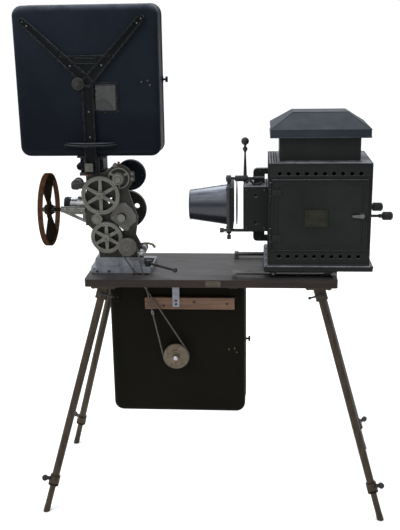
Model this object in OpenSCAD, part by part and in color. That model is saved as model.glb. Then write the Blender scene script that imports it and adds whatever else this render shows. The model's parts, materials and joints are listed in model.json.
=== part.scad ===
// Hand-driven film projector outfit on a four-legged table.
// Millimetres. X points from the lens to the lamphouse, Y away from the gear side, Z up.
// The origin lies on the floor, under the middle of the whole outfit.

/* [Table] */
// Length of the table board
board_len = 710; // [660:1:780]
// Width of the table board
board_wid = 284; // [270:1:330]
// Thickness of the table board
board_thk = 22; // [18:1:28]
// Height of the board's top above the floor
board_top = 700; // [670:1:760]
// Corner radius of the board
board_corner = 8; // [4:1:16]
// Film slot in the board, along the board
slot_len = 60; // [46:1:64]
// Film slot in the board, across the board
slot_wid = 66; // [50:1:68]
// Distance from the film plane to the middle of the film slot
slot_dx = 141; // [136:1:146]

/* [Legs] */
// Distance of a leg's top from the board's end
leg_inset_x = 52; // [44:1:70]
// Distance of a leg's top from the board's long edge
leg_inset_y = 30; // [28:1:44]
// How far a foot stands out from the leg's top, along the board
leg_splay_x = 188; // [120:1:230]
// How far a foot stands out from the leg's top, across the board
leg_splay_y = 100; // [60:1:130]
// Outer diameter of the upper leg tube
upper_tube_d = 22; // [20:0.5:26]
// Wall of the upper leg tube
upper_tube_wall = 2; // [1.5:0.1:2.5]
// Wall of the lower leg tube
lower_tube_wall = 2; // [1.2:0.1:3]
// Radial clearance of the lower tube in the upper one
leg_clear = 0.1; // [0.05:0.01:0.2]
// Length of lower tube that shows below the collar
leg_show = 95; // [90:1:160]
// Length of lower tube inside the upper one
leg_overlap = 260; // [220:1:300]
// Outer diameter of the clamp collar
collar_d = 30; // [28:1:36]
// Length of the clamp collar
collar_len = 20; // [16:1:30]
// Outer diameter of the leg's socket
socket_d = 34; // [30:1:40]
// Length of the leg's socket
socket_len = 42; // [36:1:60]
// Thickness of the socket's flange
socket_flange_thk = 6; // [4:0.5:10]
// Diameter of the foot ferrule
foot_d = 19; // [18.5:0.5:24]
// Length of the foot ferrule
foot_len = 16; // [12:1:28]
// Diameter of the clamp screw's shank
clamp_screw_d = 7; // [5:0.5:9]
// Diameter of the clamp screw's flat thumb head
thumb_d = 18; // [14:1:24]

/* [Magazines] */
// Width of each film magazine
mag_w = 398; // [384:1:404]
// Height of each film magazine
mag_h = 408; // [394:1:414]
// Depth of each film magazine, door included
mag_depth = 104; // [100:1:112]
// Depth of the magazine's door pan
lid_depth = 18; // [14:1:24]
// Wall of the magazines
mag_wall = 2; // [1.5:0.1:3]
// Corner radius of the magazines
mag_corner = 28; // [20:1:40]
// Rounding of the magazine's front edges
mag_edge = 14; // [10:1:16]
// Rounding of the magazine door's edges
lid_edge = 9; // [6:1:11]
// Gap between the case and its door
lid_gap = 0.4; // [0.3:0.1:1]
// Radius of the hinge barrels of the magazine doors
hinge_r = 4.5; // [3.5:0.5:6]
// Gap between a hinge barrel and the magazine's side
hinge_off = 0.8; // [0.5:0.1:2]
// Length of one hinge barrel
hinge_len = 22; // [16:1:30]
// Upper magazine's middle, from the film plane
upper_mag_dx = 9; // [6:1:12]
// Upper magazine's bottom, above the board
upper_mag_rise = 334; // [330:1:342]
// Supply spindle, from the upper magazine's middle along X
supply_dx = -22; // [-26:1:-18]
// Supply spindle, from the upper magazine's middle along Z
supply_dz = -3; // [-8:1:4]
// Lower magazine's middle, from the film plane
lower_mag_dx = 243; // [238:1:248]
// Gap between the board and the lower magazine
hang_gap = 14; // [10:1:20]
// Take-up spindle, from the lower magazine's middle along X
takeup_dx = -3; // [-8:1:4]
// Take-up spindle, from the lower magazine's middle along Z
takeup_dz = -12; // [-16:1:-4]
// Window width in the upper magazine
window_w = 64; // [50:1:74]
// Window height in the upper magazine
window_h = 66; // [50:1:74]
// Window's middle, right of the supply spindle
window_dx = 68; // [60:1:76]
// Window's middle, below the supply spindle
window_drop = 39; // [34:1:46]
// Thickness of the window glass
glass_thk = 2; // [1.5:0.5:4]
// Outer radius of a film reel
reel_r = 150; // [130:1:160]
// Radius of a reel's core
reel_core_r = 40; // [30:1:50]
// Width of a reel over its flanges
reel_w = 42; // [40:1:46]
// Thickness of a reel's flange
reel_flange = 1.6; // [1:0.1:3]
// Radius of the reel spindles
spindle_r = 6; // [5:0.5:7]

/* [Head] */
// Distance of the film plane from the board's left end
film_from_end = 10; // [4:1:16]
// Middle of the film, across the board
film_y = -5; // [-10:1:0]
// Height of the optical axis above the board
opt_rise = 186; // [182:1:190]
// Thickness of the main frame plate
frame_thk = 8; // [6:0.5:9]
// Height of the base casting's flange
base_flange_thk = 16; // [12:1:20]
// Height of the base casting
base_rise = 42; // [38:1:46]
// Length of the base casting's flange
base_len = 178; // [174:1:184]
// Radius of the feed sprocket on the main shaft
feed_r = 24; // [23:0.5:25]
// Radius of the lower sprocket
lower_sprocket_r = 20; // [18:0.5:21]
// Radius of the intermittent sprocket
step_sprocket_r = 12; // [11:0.5:13]
// Width of film
film_w = 35; // [34:0.5:36]
// Radius of the gear shafts
shaft_r = 6; // [5:0.5:6.5]
// Radial clearance of a shaft in its bearing
run_clear = 0.05; // [0.02:0.01:0.08]

/* [Gear train] */
// Gear module
gear_m = 1.5; // [1.48:0.01:1.52]
// Face width of the gears
gear_w = 10; // [8:0.5:11]
// Backlash at the pitch line
backlash = 0.3; // [0.2:0.05:0.45]
// Teeth of the main gear
main_teeth = 72; // [72:1:72]
// Teeth of the idler pinion
idler_teeth = 20; // [20:1:20]
// Teeth of the lower gear
lower_teeth = 60; // [60:1:60]
// Teeth of the upper pinion
upper_teeth = 22; // [22:1:22]
// Teeth of the belt pulley's pinion
pulley_teeth = 28; // [28:1:28]
// Teeth of the second gear on the lower shaft
second_teeth = 56; // [56:1:56]
// Teeth of the flywheel's pinion
fly_teeth = 40; // [40:1:40]
// Main gear's shaft, right of the film plane
main_dx = 35; // [33:1:37]
// Main gear's shaft, above the optical axis
main_dz = 40; // [38:1:43]
// Direction from the main gear to the idler
idler_dir = -101; // [-103:1:-99]
// Direction from the idler to the lower gear
lower_dir = -65; // [-67:1:-63]
// Direction from the main gear to the upper pinion
upper_dir = 42; // [40:1:44]
// Direction from the lower gear to the belt pulley
pulley_dir = -22; // [-24:1:-20]
// Direction from the lower gear to the flywheel
fly_dir = 52; // [50:1:54]
// Width of a spoked gear's rim
gear_rim = 8; // [6:0.5:10]
// Number of spokes
gear_spokes = 6; // [4:1:8]
// Radius of the flywheel
fly_r = 56; // [48:1:58]
// Width of the flywheel
fly_w = 16; // [12:1:20]
// Radius of the governor's open ring on the upper pinion
ring_r = 30; // [26:1:32]

/* [Belt] */
// Radius of the head's belt pulley
head_pulley_r = 25; // [24:0.5:28]
// Radius of the take-up pulley
takeup_pulley_r = 37; // [34:0.5:40]
// Width of the belt pulleys
pulley_w = 12; // [11:0.5:13]
// Radius of the round belt
belt_r = 2.6; // [2.2:0.1:3.2]
// Gap between the belt and its groove
belt_gap = 0.3; // [0.2:0.05:0.5]

/* [Lens and shutter] */
// Radius of the lens barrel
lens_r = 19.5; // [16:0.5:21]
// Length of the lens barrel
lens_len = 72; // [66:1:80]
// Outer radius of the lens jacket
jacket_r = 25.5; // [22:0.5:27]
// Length of the lens jacket
jacket_len = 28; // [22:1:32]
// Distance from the film plane to the shutter
shutter_dx = 119; // [114:1:126]
// Radius of the shutter wheel
shutter_r = 104; // [96:1:110]
// Width of the shutter's rim hoop
shutter_hoop_w = 14; // [10:1:18]
// Thickness of the shutter's rim hoop
shutter_hoop_t = 4; // [3:0.5:6]
// Radius of the shutter's shaft
shutter_shaft_r = 5; // [4:0.5:6]
// Number of shutter wings
shutter_wings = 2; // [2:1:3]

/* [Lamphouse] */
// Length of the lamphouse
lamp_len = 278; // [270:1:290]
// Width of the lamphouse
lamp_wid = 220; // [210:1:230]
// Height of the lamphouse walls
lamp_h = 286; // [280:1:300]
// Overhang of the lamphouse past the board's end
lamp_overhang = 85; // [75:1:90]
// Wall of the lamphouse
lamp_wall = 2; // [1.5:0.1:3]
// Thickness of the lamphouse's base plate
lamp_base_thk = 14; // [12:1:18]
// Margin of the base plate around the lamphouse
lamp_base_margin = 11; // [6:1:14]
// Height of the rails' middle above the board
rail_rise = 12; // [11:0.5:14]
// Radius of the rails
rail_r = 6; // [5:0.5:7]
// Distance between the two rails
rail_gauge = 200; // [180:1:210]
// Travel of the lamphouse towards the head
lamp_travel = 85; // [60:1:90]
// Margin of the door opening inside the lamphouse's front, left and right
door_side = 15; // [13:1:20]
// Margin of the door opening at top and bottom
door_end = 49; // [46:1:56]
// Overlap of the lamphouse door on its frame
door_lap = 6; // [4:1:9]
// Thickness of the lamphouse door
door_thk = 2.5; // [2:0.1:4]
// Vent holes in one row
vent_count = 10; // [6:1:12]
// Radius of a vent hole
vent_r = 5.5; // [3:0.5:6.5]
// Length of the chimney
chimney_len = 219; // [200:1:235]
// Width of the chimney
chimney_wid = 160; // [140:1:180]
// Height of the chimney
chimney_h = 67; // [50:1:80]
// Overhang of the roof past the chimney's ends
roof_over_x = 25; // [16:1:28]
// Overhang of the roof past the chimney's sides
roof_over_y = 20; // [14:1:26]
// Height of the roof's eave band
roof_eave = 23; // [12:1:28]
// Height of the roof's slope
roof_rise = 40; // [30:1:46]
// Run of the roof's slope
roof_run = 60; // [46:1:64]

/* [Condenser and cone] */
// Length of the condenser box
cond_len = 70; // [66:1:76]
// Width of the condenser box
cond_wid = 124; // [118:1:132]
// Height of the condenser box
cond_h = 127; // [122:1:136]
// Radius of the condenser lenses
cond_lens_r = 51; // [46:0.5:52]
// Gap between the condenser box and the cone's flange
dowser_gap = 39; // [34:1:44]
// Length of the light cone
cone_len = 107; // [96:1:116]
// Radius of the cone's small end
cone_r1 = 42; // [38:1:46]
// Radius of the cone's large end
cone_r2 = 58; // [55:1:60]
// Wall of the cone
cone_wall = 1.6; // [1.2:0.1:3]
// Thickness of the cone's flange
cone_flange_thk = 8; // [6:0.5:10]
// Rod of the cone, above and below the optical axis
cone_rod_dz = 76; // [74:1:80]
// Radius of the cone's rods
cone_rod_r = 4.5; // [4:0.5:5.5]
// Length of the dowser's lever
dowser_lever = 106; // [90:1:120]
// Radius of the dowser's ball
dowser_ball_r = 11; // [9:0.5:14]
// Radius of the dowser's blade
dowser_blade_r = 57; // [54:1:60]

/* [Lamp controls] */
// Length of the short control rod outside the lamphouse
short_rod = 13; // [10:1:20]
// Length of the long control rod outside the lamphouse
long_rod = 45; // [36:1:54]
// Length of a control knob
knob_len = 30; // [24:1:36]
// Radius of a control knob
knob_r = 9; // [7:0.5:12]
// Radius of a control rod
control_rod_r = 4; // [3:0.5:5]

/* [Hidden] */
$fn = 64;

// Colours of the finishes
japan_black = [0.07, 0.08, 0.1];
gear_grey = [0.45, 0.45, 0.4];
frame_grey = [0.34, 0.34, 0.32];
worn_steel = [0.28, 0.25, 0.22];
bright_steel = [0.7, 0.71, 0.72];
dark_wood = [0.16, 0.1, 0.08];
red_wood = [0.45, 0.25, 0.16];

// A hair over zero, so that cuts pass right through
cut = 1;
// Clearance between pieces of one body that fit into each other
seat_clear = 0.05;
// Clearance between pieces that move past each other
move_gap = 0.4;

// Table: the board is shifted along X so that the whole outfit is centred on the origin
under_z = board_top - board_thk;
left_reach = board_len / 2 - film_from_end - upper_mag_dx + mag_w / 2 + 2 * hinge_r + hinge_off;
right_reach = board_len / 2 + lamp_overhang + long_rod + knob_len;
board_x = (left_reach - right_reach) / 2;
film_x = board_x - board_len / 2 + film_from_end;
opt_z = board_top + opt_rise;
slot_x = film_x + slot_dx;

// Legs: each runs down its own local -Z from the board's underside to the floor
leg_top_x = board_len / 2 - leg_inset_x;
leg_top_y = board_wid / 2 - leg_inset_y;
leg_len = norm([leg_splay_x, leg_splay_y, under_z]);
leg_tilt = acos(under_z / leg_len);
collar_end = leg_len - leg_show;
lower_tube_d = upper_tube_d - 2 * upper_tube_wall - 2 * leg_clear;
leg_bore_top = socket_len / 2;
leg_screw_z = -collar_end + collar_len / 2;
socket_flange = [72, 52];

// Magazines
front_y = film_y - mag_depth / 2;
lid_y = front_y + mag_depth - lid_depth;
upper_mag = [film_x + upper_mag_dx, board_top + upper_mag_rise + mag_h / 2];
lower_mag = [film_x + lower_mag_dx, under_z - hang_gap - mag_h / 2];
supply = [upper_mag[0] + supply_dx, upper_mag[1] + supply_dz];
takeup = [lower_mag[0] + takeup_dx, lower_mag[1] + takeup_dz];
window_mid = [supply[0] + window_dx, supply[1] - window_drop];
film_gap = 12;
neck_w = 64;
reel_back_y = film_y + reel_w / 2;
shoulder_r = spindle_r + 3;
hinge_pin_r = hinge_r / 2;
hinge_x = -mag_w / 2 - hinge_r - hinge_off;

// Gear train, as points in the XZ plane
function toward(p, dir, d) = [p[0] + d * cos(dir), p[1] + d * sin(dir)];
function mesh_d(n1, n2) = gear_m * (n1 + n2) / 2;
main_c = [film_x + main_dx, opt_z + main_dz];
idler_c = toward(main_c, idler_dir, mesh_d(main_teeth, idler_teeth));
lower_c = toward(idler_c, lower_dir, mesh_d(idler_teeth, lower_teeth));
upper_c = toward(main_c, upper_dir, mesh_d(main_teeth, upper_teeth));
pulley_c = toward(lower_c, pulley_dir, mesh_d(lower_teeth, pulley_teeth));
fly_c = toward(lower_c, fly_dir, mesh_d(second_teeth, fly_teeth));
step_c = [film_x + step_sprocket_r, opt_z - 40];
roller_c = [slot_x + 2, board_top + 55];
pad_c = [film_x - 43, opt_z + 62];
guard_c = [upper_c[0] + 20, upper_c[1] - 6];

// Rest angle of a driven gear whose tooth gap faces the driver's tooth
function mesh_phase(dir, phase, n1, n2) = dir + 180 - (0.5 - (dir - phase) * n1 / 360) * 360 / n2;
idler_phase = mesh_phase(idler_dir, 0, main_teeth, idler_teeth);
lower_phase = mesh_phase(lower_dir, idler_phase, idler_teeth, lower_teeth);
upper_phase = mesh_phase(upper_dir, 0, main_teeth, upper_teeth);
pulley_phase = mesh_phase(pulley_dir, lower_phase, lower_teeth, pulley_teeth);
fly_phase = mesh_phase(fly_dir, 0, second_teeth, fly_teeth);

// Planes of the head across the board
frame_back = front_y + frame_thk;
gear_back = front_y - 7;
gear_front = gear_back - gear_w;
belt_y = gear_front - 5 - pulley_w / 2;
second_front = frame_back + 2;
second_w = 7;
film_front = film_y - film_w / 2 - 3;
film_back = film_y + film_w / 2 + 3;

// Gate and lens
track_thk = 6;
wall_thk = 8;
wall_x1 = film_x - track_thk;
wall_x0 = wall_x1 - wall_thk;
gate_z0 = step_c[1] + step_sprocket_r + 2;
gate_z1 = opt_z + 40;
gate_hinge = [film_x + 4, film_y - 34];
aperture = [24.9, 18.7];
lens_x1 = wall_x1 - 2;
shutter_y = front_y + frame_thk / 2;
shutter_z = opt_z - 4;
shutter_x = film_x - shutter_dx;
frame_x0 = film_x - 7;
frame_x1 = slot_x + 8;
frame_z0 = board_top + base_rise;
frame_z1 = board_top + upper_mag_rise - 4;

// Lamphouse
board_x1 = board_x + board_len / 2;
lamp_x1 = board_x1 + lamp_overhang;
lamp_x0 = lamp_x1 - lamp_len;
lamp_y0 = film_y - lamp_wid / 2;
rail_z = board_top + rail_rise;
lamp_base_z = rail_z + rail_r + 4;
lamp_z0 = lamp_base_z + lamp_base_thk;
lamp_z1 = lamp_z0 + lamp_h;
rail_block = 18;
front_block_x = lamp_x0 + 14;
back_block_x = board_x1 - 28;
rail_post = 12;
rail_left = front_block_x - rail_block / 2 - lamp_travel - 8 - rail_post;
rail_right = board_x1 - 1;
door_x0 = lamp_x0 + door_side;
door_x1 = lamp_x1 - door_side;
door_z0 = lamp_z0 + door_end;
door_z1 = lamp_z1 - door_end;
door_y = lamp_y0 - 0.3;
door_hinge = [door_x0 - door_lap - 4, door_y - door_thk / 2 - 1];
chimney_x0 = lamp_x0 + (lamp_len - chimney_len) / 2;
chimney_z1 = lamp_z1 + chimney_h;

// Condenser, cone and dowser
cond_x0 = lamp_x0 - cond_len;
cone_flange_x1 = cond_x0 - dowser_gap;
cone_flange_x0 = cone_flange_x1 - cone_flange_thk;
cone_x0 = cone_flange_x0 - cone_len;
rib_half = 4;
cond_mid = cond_x0 + cond_len / 2;
dowser_x = cond_x0 - dowser_gap / 2;

// Lamp controls
short_pos = [film_y - 20, opt_z - 2];
long_pos = [film_y, opt_z - 33];

// Closed outline with four round corners, centred
module rounded(w, h, r) {
    square([w - 2 * r, h], center = true);
    square([w, h - 2 * r], center = true);
    for (sx = [-1, 1], sz = [-1, 1])
        translate([sx * (w / 2 - r), sz * (h / 2 - r)]) circle(r = r);
}

// Extrudes an outline in the XZ plane between two planes across Y
module slab(y0, y1) {
    translate([0, y1, 0]) rotate([90, 0, 0]) linear_extrude(y1 - y0) children();
}

// Round bar along Y, X or Z
module bar_y(c, r, y0, y1) {
    translate([c[0], y1, c[1]]) rotate([90, 0, 0]) cylinder(h = y1 - y0, r = r);
}
module bar_x(yz, r, x0, x1) {
    translate([x0, yz[0], yz[1]]) rotate([0, 90, 0]) cylinder(h = x1 - x0, r = r);
}
module bar_z(xy, r, z0, z1) {
    translate([xy[0], xy[1], z0]) cylinder(h = z1 - z0, r = r);
}

// Box given by two corners
module box(a, b) {
    translate(a) cube(b - a);
}

// Flat tapered link between two points, with round ends
module link(p, rp, q, rq) {
    d = q - p;
    n = [-d[1], d[0]] / norm(d);
    polygon([p + rp * n, p - rp * n, q - rq * n, q + rq * n]);
    translate(p) circle(r = rp);
    translate(q) circle(r = rq);
}

// Places children in a leg's own frame
module at_leg(sx, sy) {
    translate([board_x + sx * leg_top_x, sy * leg_top_y, under_z])
        rotate([0, 0, atan2(sy * leg_splay_y, sx * leg_splay_x)])
            rotate([0, -leg_tilt, 0])
                children();
}

// Wooden table board with its slots
module table_board() {
    belt_share = (pulley_c[1] - under_z - board_thk / 2) / (pulley_c[1] - takeup[1]);
    belt_x = pulley_c[0] + belt_share * (takeup[0] - pulley_c[0]);
    belt_slot = [48, 20];
    color(dark_wood) difference() {
        translate([board_x, 0, under_z]) linear_extrude(board_thk) rounded(board_len, board_wid, board_corner);
        translate([slot_x - slot_len / 2, film_y - slot_wid / 2, under_z - cut])
            cube([slot_len, slot_wid, board_thk + 2 * cut]);
        translate([belt_x - belt_slot[0] / 2, belt_y - belt_slot[1] / 2, under_z - cut])
            cube([belt_slot[0], belt_slot[1], board_thk + 2 * cut]);
        for (x = hanger_x)
            bar_z([x, hanger_bolt_y], hanger_bolt_r + seat_clear, under_z - cut, under_z + hanger_bolt_grip);
    }
}

// Upper leg: socket with flange, tube and clamp collar
module upper_leg(sx, sy) {
    above = socket_d;
    color(worn_steel) difference() {
        union() {
            at_leg(sx, sy) {
                translate([0, 0, -collar_end]) cylinder(h = collar_end - leg_bore_top / 2, d = upper_tube_d);
                translate([0, 0, -collar_end]) cylinder(h = collar_len, d = collar_d);
                translate([0, 0, -socket_len]) cylinder(h = socket_len + above / 2, d = socket_d);
            }
            translate([board_x + sx * leg_top_x, sy * leg_top_y, under_z - socket_flange_thk])
                linear_extrude(socket_flange_thk) rounded(socket_flange[0], socket_flange[1], board_corner);
        }
        at_leg(sx, sy) {
            translate([0, 0, -collar_end - cut])
                cylinder(h = collar_end + cut - leg_bore_top, d = upper_tube_d - 2 * upper_tube_wall);
            translate([0, 0, leg_screw_z]) rotate([0, 90, 0])
                cylinder(h = collar_d, d = clamp_screw_d + 2 * run_clear);
        }
        box([-board_len, -board_wid, under_z], [board_len, board_wid, under_z + above]);
    }
}

// Lower leg: tube that slides in the upper leg, with a foot ferrule cut level with the floor
module lower_leg(sx, sy) {
    tube_len = leg_show + leg_overlap;
    floor_depth = foot_d;
    color(worn_steel) difference() {
        at_leg(sx, sy) difference() {
            union() {
                translate([0, 0, -leg_len]) cylinder(h = tube_len, d = lower_tube_d);
                translate([0, 0, -leg_len - foot_d / 2]) cylinder(h = foot_len + foot_d / 2, d = foot_d);
            }
            translate([0, 0, -leg_len + foot_len])
                cylinder(h = tube_len, d = lower_tube_d - 2 * lower_tube_wall);
        }
        box([-board_len, -board_wid, -floor_depth], [board_len, board_wid, 0]);
    }
}

// Thumb screw that clamps a lower leg
module leg_screw(sx, sy) {
    tip = lower_tube_d / 2 + move_gap;
    neck = collar_d / 2 + 6;
    color(bright_steel) at_leg(sx, sy) translate([0, 0, leg_screw_z]) {
        translate([tip, 0, 0]) rotate([0, 90, 0]) cylinder(h = neck + 2 - tip, d = clamp_screw_d);
        translate([collar_d / 2 + move_gap, 0, 0]) rotate([0, 90, 0])
            cylinder(h = neck - collar_d / 2, d = clamp_screw_d + 4);
        translate([neck + thumb_d / 2, 0, 0]) rotate([90, 0, 0]) cylinder(h = 5, d = thumb_d, center = true);
    }
}

// Block from y = 0 to the depth, with its rim rounded at the front (side 1) or the back (side -1)
module rimmed(w, h, corner, edge, depth, side) {
    rim_steps = 4;
    skin = 0.5;
    hull() {
        slab(side > 0 ? edge : 0, side > 0 ? depth : depth - edge) rounded(w, h, corner, $fn = 32);
        for (k = [1 : rim_steps]) {
            a = 90 * k / rim_steps;
            inset = edge * (1 - cos(a));
            y = edge * (1 - sin(a));
            slab(side > 0 ? y : depth - y - skin, side > 0 ? y + skin : depth - y)
                rounded(w - 2 * inset, h - 2 * inset, corner - inset, $fn = 32);
        }
    }
}

// Open pan of the magazine's case (side 1) or door (side -1)
module pan(depth, edge, side) {
    t = mag_wall;
    difference() {
        rimmed(mag_w, mag_h, mag_corner, edge, depth, side);
        translate([0, side * t, 0])
            rimmed(mag_w - 2 * t, mag_h - 2 * t, mag_corner - t, edge - t, depth, side);
    }
}

// Heights of the two hinges of a magazine door
hinge_z = [-mag_h / 4, mag_h / 4];

// Hinge barrels on the case, with the pin between them
module case_hinges() {
    for (z = hinge_z) {
        for (s = [-1, 1])
            translate([hinge_x, 0, z + s * (hinge_len + move_gap) - hinge_len / 2])
                cylinder(h = hinge_len, r = hinge_r);
        translate([hinge_x, 0, z - hinge_len]) cylinder(h = 2 * hinge_len, r = hinge_pin_r);
        for (s = [-1, 1])
            translate([hinge_x, -hinge_r, z + s * (hinge_len + move_gap) - hinge_len / 2])
                cube([hinge_r + hinge_off + mag_wall / 2, hinge_r - lid_gap, hinge_len]);
    }
}

// Hinge barrels on the door
module door_hinges() {
    for (z = hinge_z) difference() {
        union() {
            translate([hinge_x, 0, z - hinge_len / 2]) cylinder(h = hinge_len, r = hinge_r);
            translate([hinge_x, lid_gap, z - hinge_len / 2])
                cube([hinge_r + hinge_off + mag_wall / 2, hinge_r - lid_gap, hinge_len]);
        }
        translate([hinge_x, 0, z - hinge_len]) cylinder(h = 2 * hinge_len, r = hinge_pin_r + run_clear);
    }
}

// Case of a magazine, its middle at c
module magazine_case(c) {
    translate([c[0], front_y, c[1]]) pan(mag_depth - lid_depth - lid_gap, mag_edge, 1);
    translate([c[0], lid_y, c[1]]) case_hinges();
}

// Door of a magazine, with its spring catch and knob on the side away from the hinges
module magazine_door(c) {
    catch_w = 16;
    catch_t = 2;
    color(japan_black) {
        translate([c[0], lid_y, c[1]]) {
            pan(lid_depth, lid_edge, -1);
            door_hinges();
        }
        translate([c[0] + mag_w / 2 - 1, lid_y + 1, c[1] - catch_w / 2])
            cube([catch_t + 1, lid_depth - lid_edge - 2, catch_w]);
        bar_x([lid_y + 5, c[1]], 3, c[0] + mag_w / 2, c[0] + mag_w / 2 + 12);
        bar_x([lid_y + 5, c[1]], 8, c[0] + mag_w / 2 + 8, c[0] + mag_w / 2 + 14);
    }
}

// Hangers of the lower magazine
hanger_x = [lower_mag[0] - mag_w / 2 + 20, lower_mag[0] + mag_w / 2 - 34];
hanger_w = 22;
hanger_t = 4;
hanger_reach = min(28, leg_top_y - socket_flange[1] / 2 + front_y - move_gap);
hanger_bolt_y = front_y - hanger_reach / 2;
hanger_bolt_r = 4;
hanger_bolt_grip = 12;

// Case of the lower magazine, with its hanger ears and the take-up bearing
module lower_magazine_case() {
    boss_len = 8;
    color(japan_black) difference() {
        union() {
            magazine_case(lower_mag);
            bar_y(takeup, spindle_r + 8, front_y - boss_len, front_y + mag_wall);
            for (x = hanger_x) {
                box([x - hanger_w / 2, front_y - hanger_t, lower_mag[1] + mag_h / 2 - 2 * mag_corner],
                    [x + hanger_w / 2, front_y, under_z]);
                box([x - hanger_w / 2, front_y - hanger_reach, under_z - hanger_t],
                    [x + hanger_w / 2, front_y, under_z]);
                box([x - hanger_w / 2, front_y - hanger_t, lower_mag[1] + mag_h / 2 - 2 * mag_corner],
                    [x + hanger_w / 2, front_y + mag_wall / 2, lower_mag[1] + mag_h / 2 - mag_corner]);
                box([x - hanger_w / 2, film_y - hanger_w / 2, lower_mag[1] + mag_h / 2 - mag_wall],
                    [x + hanger_w / 2, film_y + hanger_w / 2, under_z]);
            }
        }
        bar_y(takeup, spindle_r + run_clear, front_y - boss_len - cut, front_y + mag_wall + cut);
        for (x = hanger_x)
            bar_z([x, hanger_bolt_y], hanger_bolt_r + seat_clear, under_z - hanger_t - cut, under_z + cut);
        box([slot_x - film_gap / 2, film_front, lower_mag[1] + mag_h / 2 - mag_wall - cut],
            [slot_x + film_gap / 2, film_back, lower_mag[1] + mag_h / 2 + cut]);
    }
}

// Wing bolts that hang the lower magazine from the board
module hanger_bolts() {
    washer = 2;
    wing = [26, 4, 14];
    color(bright_steel) for (x = hanger_x) {
        bar_z([x, hanger_bolt_y], hanger_bolt_r, under_z - hanger_t - 10, under_z + hanger_bolt_grip);
        bar_z([x, hanger_bolt_y], hanger_bolt_r + 4, under_z - hanger_t - 8, under_z - hanger_t);
        translate([x - wing[0] / 2, hanger_bolt_y - wing[1] / 2, under_z - hanger_t - 8 - wing[2] + washer])
            cube(wing);
    }
}

// Wooden batten across the lower magazine's front
batten_t = 12;
batten_h = 34;
batten_z1 = lower_mag[1] + mag_h / 2 - 40;
batten_x0 = slot_x + 10;
batten_x1 = hanger_x[1] - hanger_w / 2 + 14;

module hanger_batten() {
    color(red_wood)
        box([batten_x0, front_y - hanger_t - batten_t - seat_clear, batten_z1 - batten_h],
            [batten_x1, front_y - hanger_t - seat_clear, batten_z1]);
}

// Steel strap from the board to the batten
strap_x = takeup[0] + 2;
strap_w = 20;
strap_t = 3;

module hanger_strap() {
    strap_y = front_y - hanger_t - batten_t - 2 * seat_clear;
    foot = 30;
    color(bright_steel) {
        box([strap_x - strap_w / 2, strap_y - strap_t, batten_z1 - batten_h + 8],
            [strap_x + strap_w / 2, strap_y, under_z]);
        box([strap_x - strap_w / 2, strap_y - foot, under_z - strap_t],
            [strap_x + strap_w / 2, strap_y, under_z]);
    }
}

// Spoked film reel with a round core, bored to run on a spindle
module film_reel(c, bore) {
    holes = 5;
    hole_r = (reel_r - reel_core_r) * 0.3;
    hole_c = (reel_r + reel_core_r) / 2;
    color(bright_steel) difference() {
        union() {
            bar_y(c, reel_core_r, film_y - reel_w / 2, film_y + reel_w / 2);
            bar_y(c, reel_r, film_y - reel_w / 2, film_y - reel_w / 2 + reel_flange);
            bar_y(c, reel_r, film_y + reel_w / 2 - reel_flange, film_y + reel_w / 2);
        }
        bar_y(c, bore, film_y - reel_w, film_y + reel_w);
        for (k = [0 : holes - 1])
            bar_y(toward(c, 90 + k * 360 / holes, hole_c), hole_r, film_y - reel_w, film_y + reel_w);
    }
}

module supply_reel() {
    film_reel(supply, spindle_r + run_clear);
}

module takeup_reel() {
    film_reel(takeup, spindle_r + seat_clear);
}

// Grooved pulley for the round belt, as a revolved profile along Y
module belt_wheel(c, r) {
    groove_r = belt_r + belt_gap;
    translate([c[0], belt_y, c[1]]) rotate([90, 0, 0]) difference() {
        translate([0, 0, -pulley_w / 2]) cylinder(h = pulley_w, r = r);
        rotate_extrude() translate([r, 0]) circle(r = groove_r);
    }
}

// Take-up pulley with its shaft, nut and the shoulder that carries the reel
module takeup_pulley() {
    shoulder_y = film_y - reel_w / 2 - seat_clear;
    color(worn_steel) {
        belt_wheel(takeup, takeup_pulley_r);
        bar_y(takeup, spindle_r, belt_y, reel_back_y + 6);
        bar_y(takeup, shoulder_r, front_y + mag_wall + move_gap, shoulder_y);
        bar_y(takeup, shoulder_r, reel_back_y + seat_clear, reel_back_y + 6);
        bar_y(takeup, 20, belt_y - pulley_w / 2 - 2, belt_y);
        bar_y(takeup, 14, belt_y - pulley_w / 2 - 4, belt_y);
        translate([takeup[0], belt_y - pulley_w / 2 - 4, takeup[1]]) rotate([90, 0, 0])
            cylinder(h = 6, r = 9, $fn = 6);
    }
}

// Case of the upper magazine, with window, spindle hole and film slot
module upper_magazine_case() {
    bottom = upper_mag[1] - mag_h / 2;
    color(japan_black) difference() {
        magazine_case(upper_mag);
        bar_y(supply, shoulder_r + seat_clear, front_y - cut, front_y + mag_wall + cut);
        translate([window_mid[0] - window_w / 2, front_y - cut, window_mid[1] - window_h / 2])
            cube([window_w, mag_wall + 2 * cut, window_h]);
        box([film_x - film_gap / 2 + 10, film_front, bottom - cut],
            [film_x + film_gap / 2 + 10, film_back, bottom + mag_wall + cut]);
    }
}

module upper_magazine_door() {
    magazine_door(upper_mag);
}

module lower_magazine_door() {
    magazine_door(lower_mag);
}

// Glass pane behind the window
module magazine_window() {
    lap = 5;
    color([0.6, 0.65, 0.66])
        translate([window_mid[0] - window_w / 2 - lap, front_y + mag_wall, window_mid[1] - window_h / 2 - lap])
            cube([window_w + 2 * lap, glass_thk, window_h + 2 * lap]);
}

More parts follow.
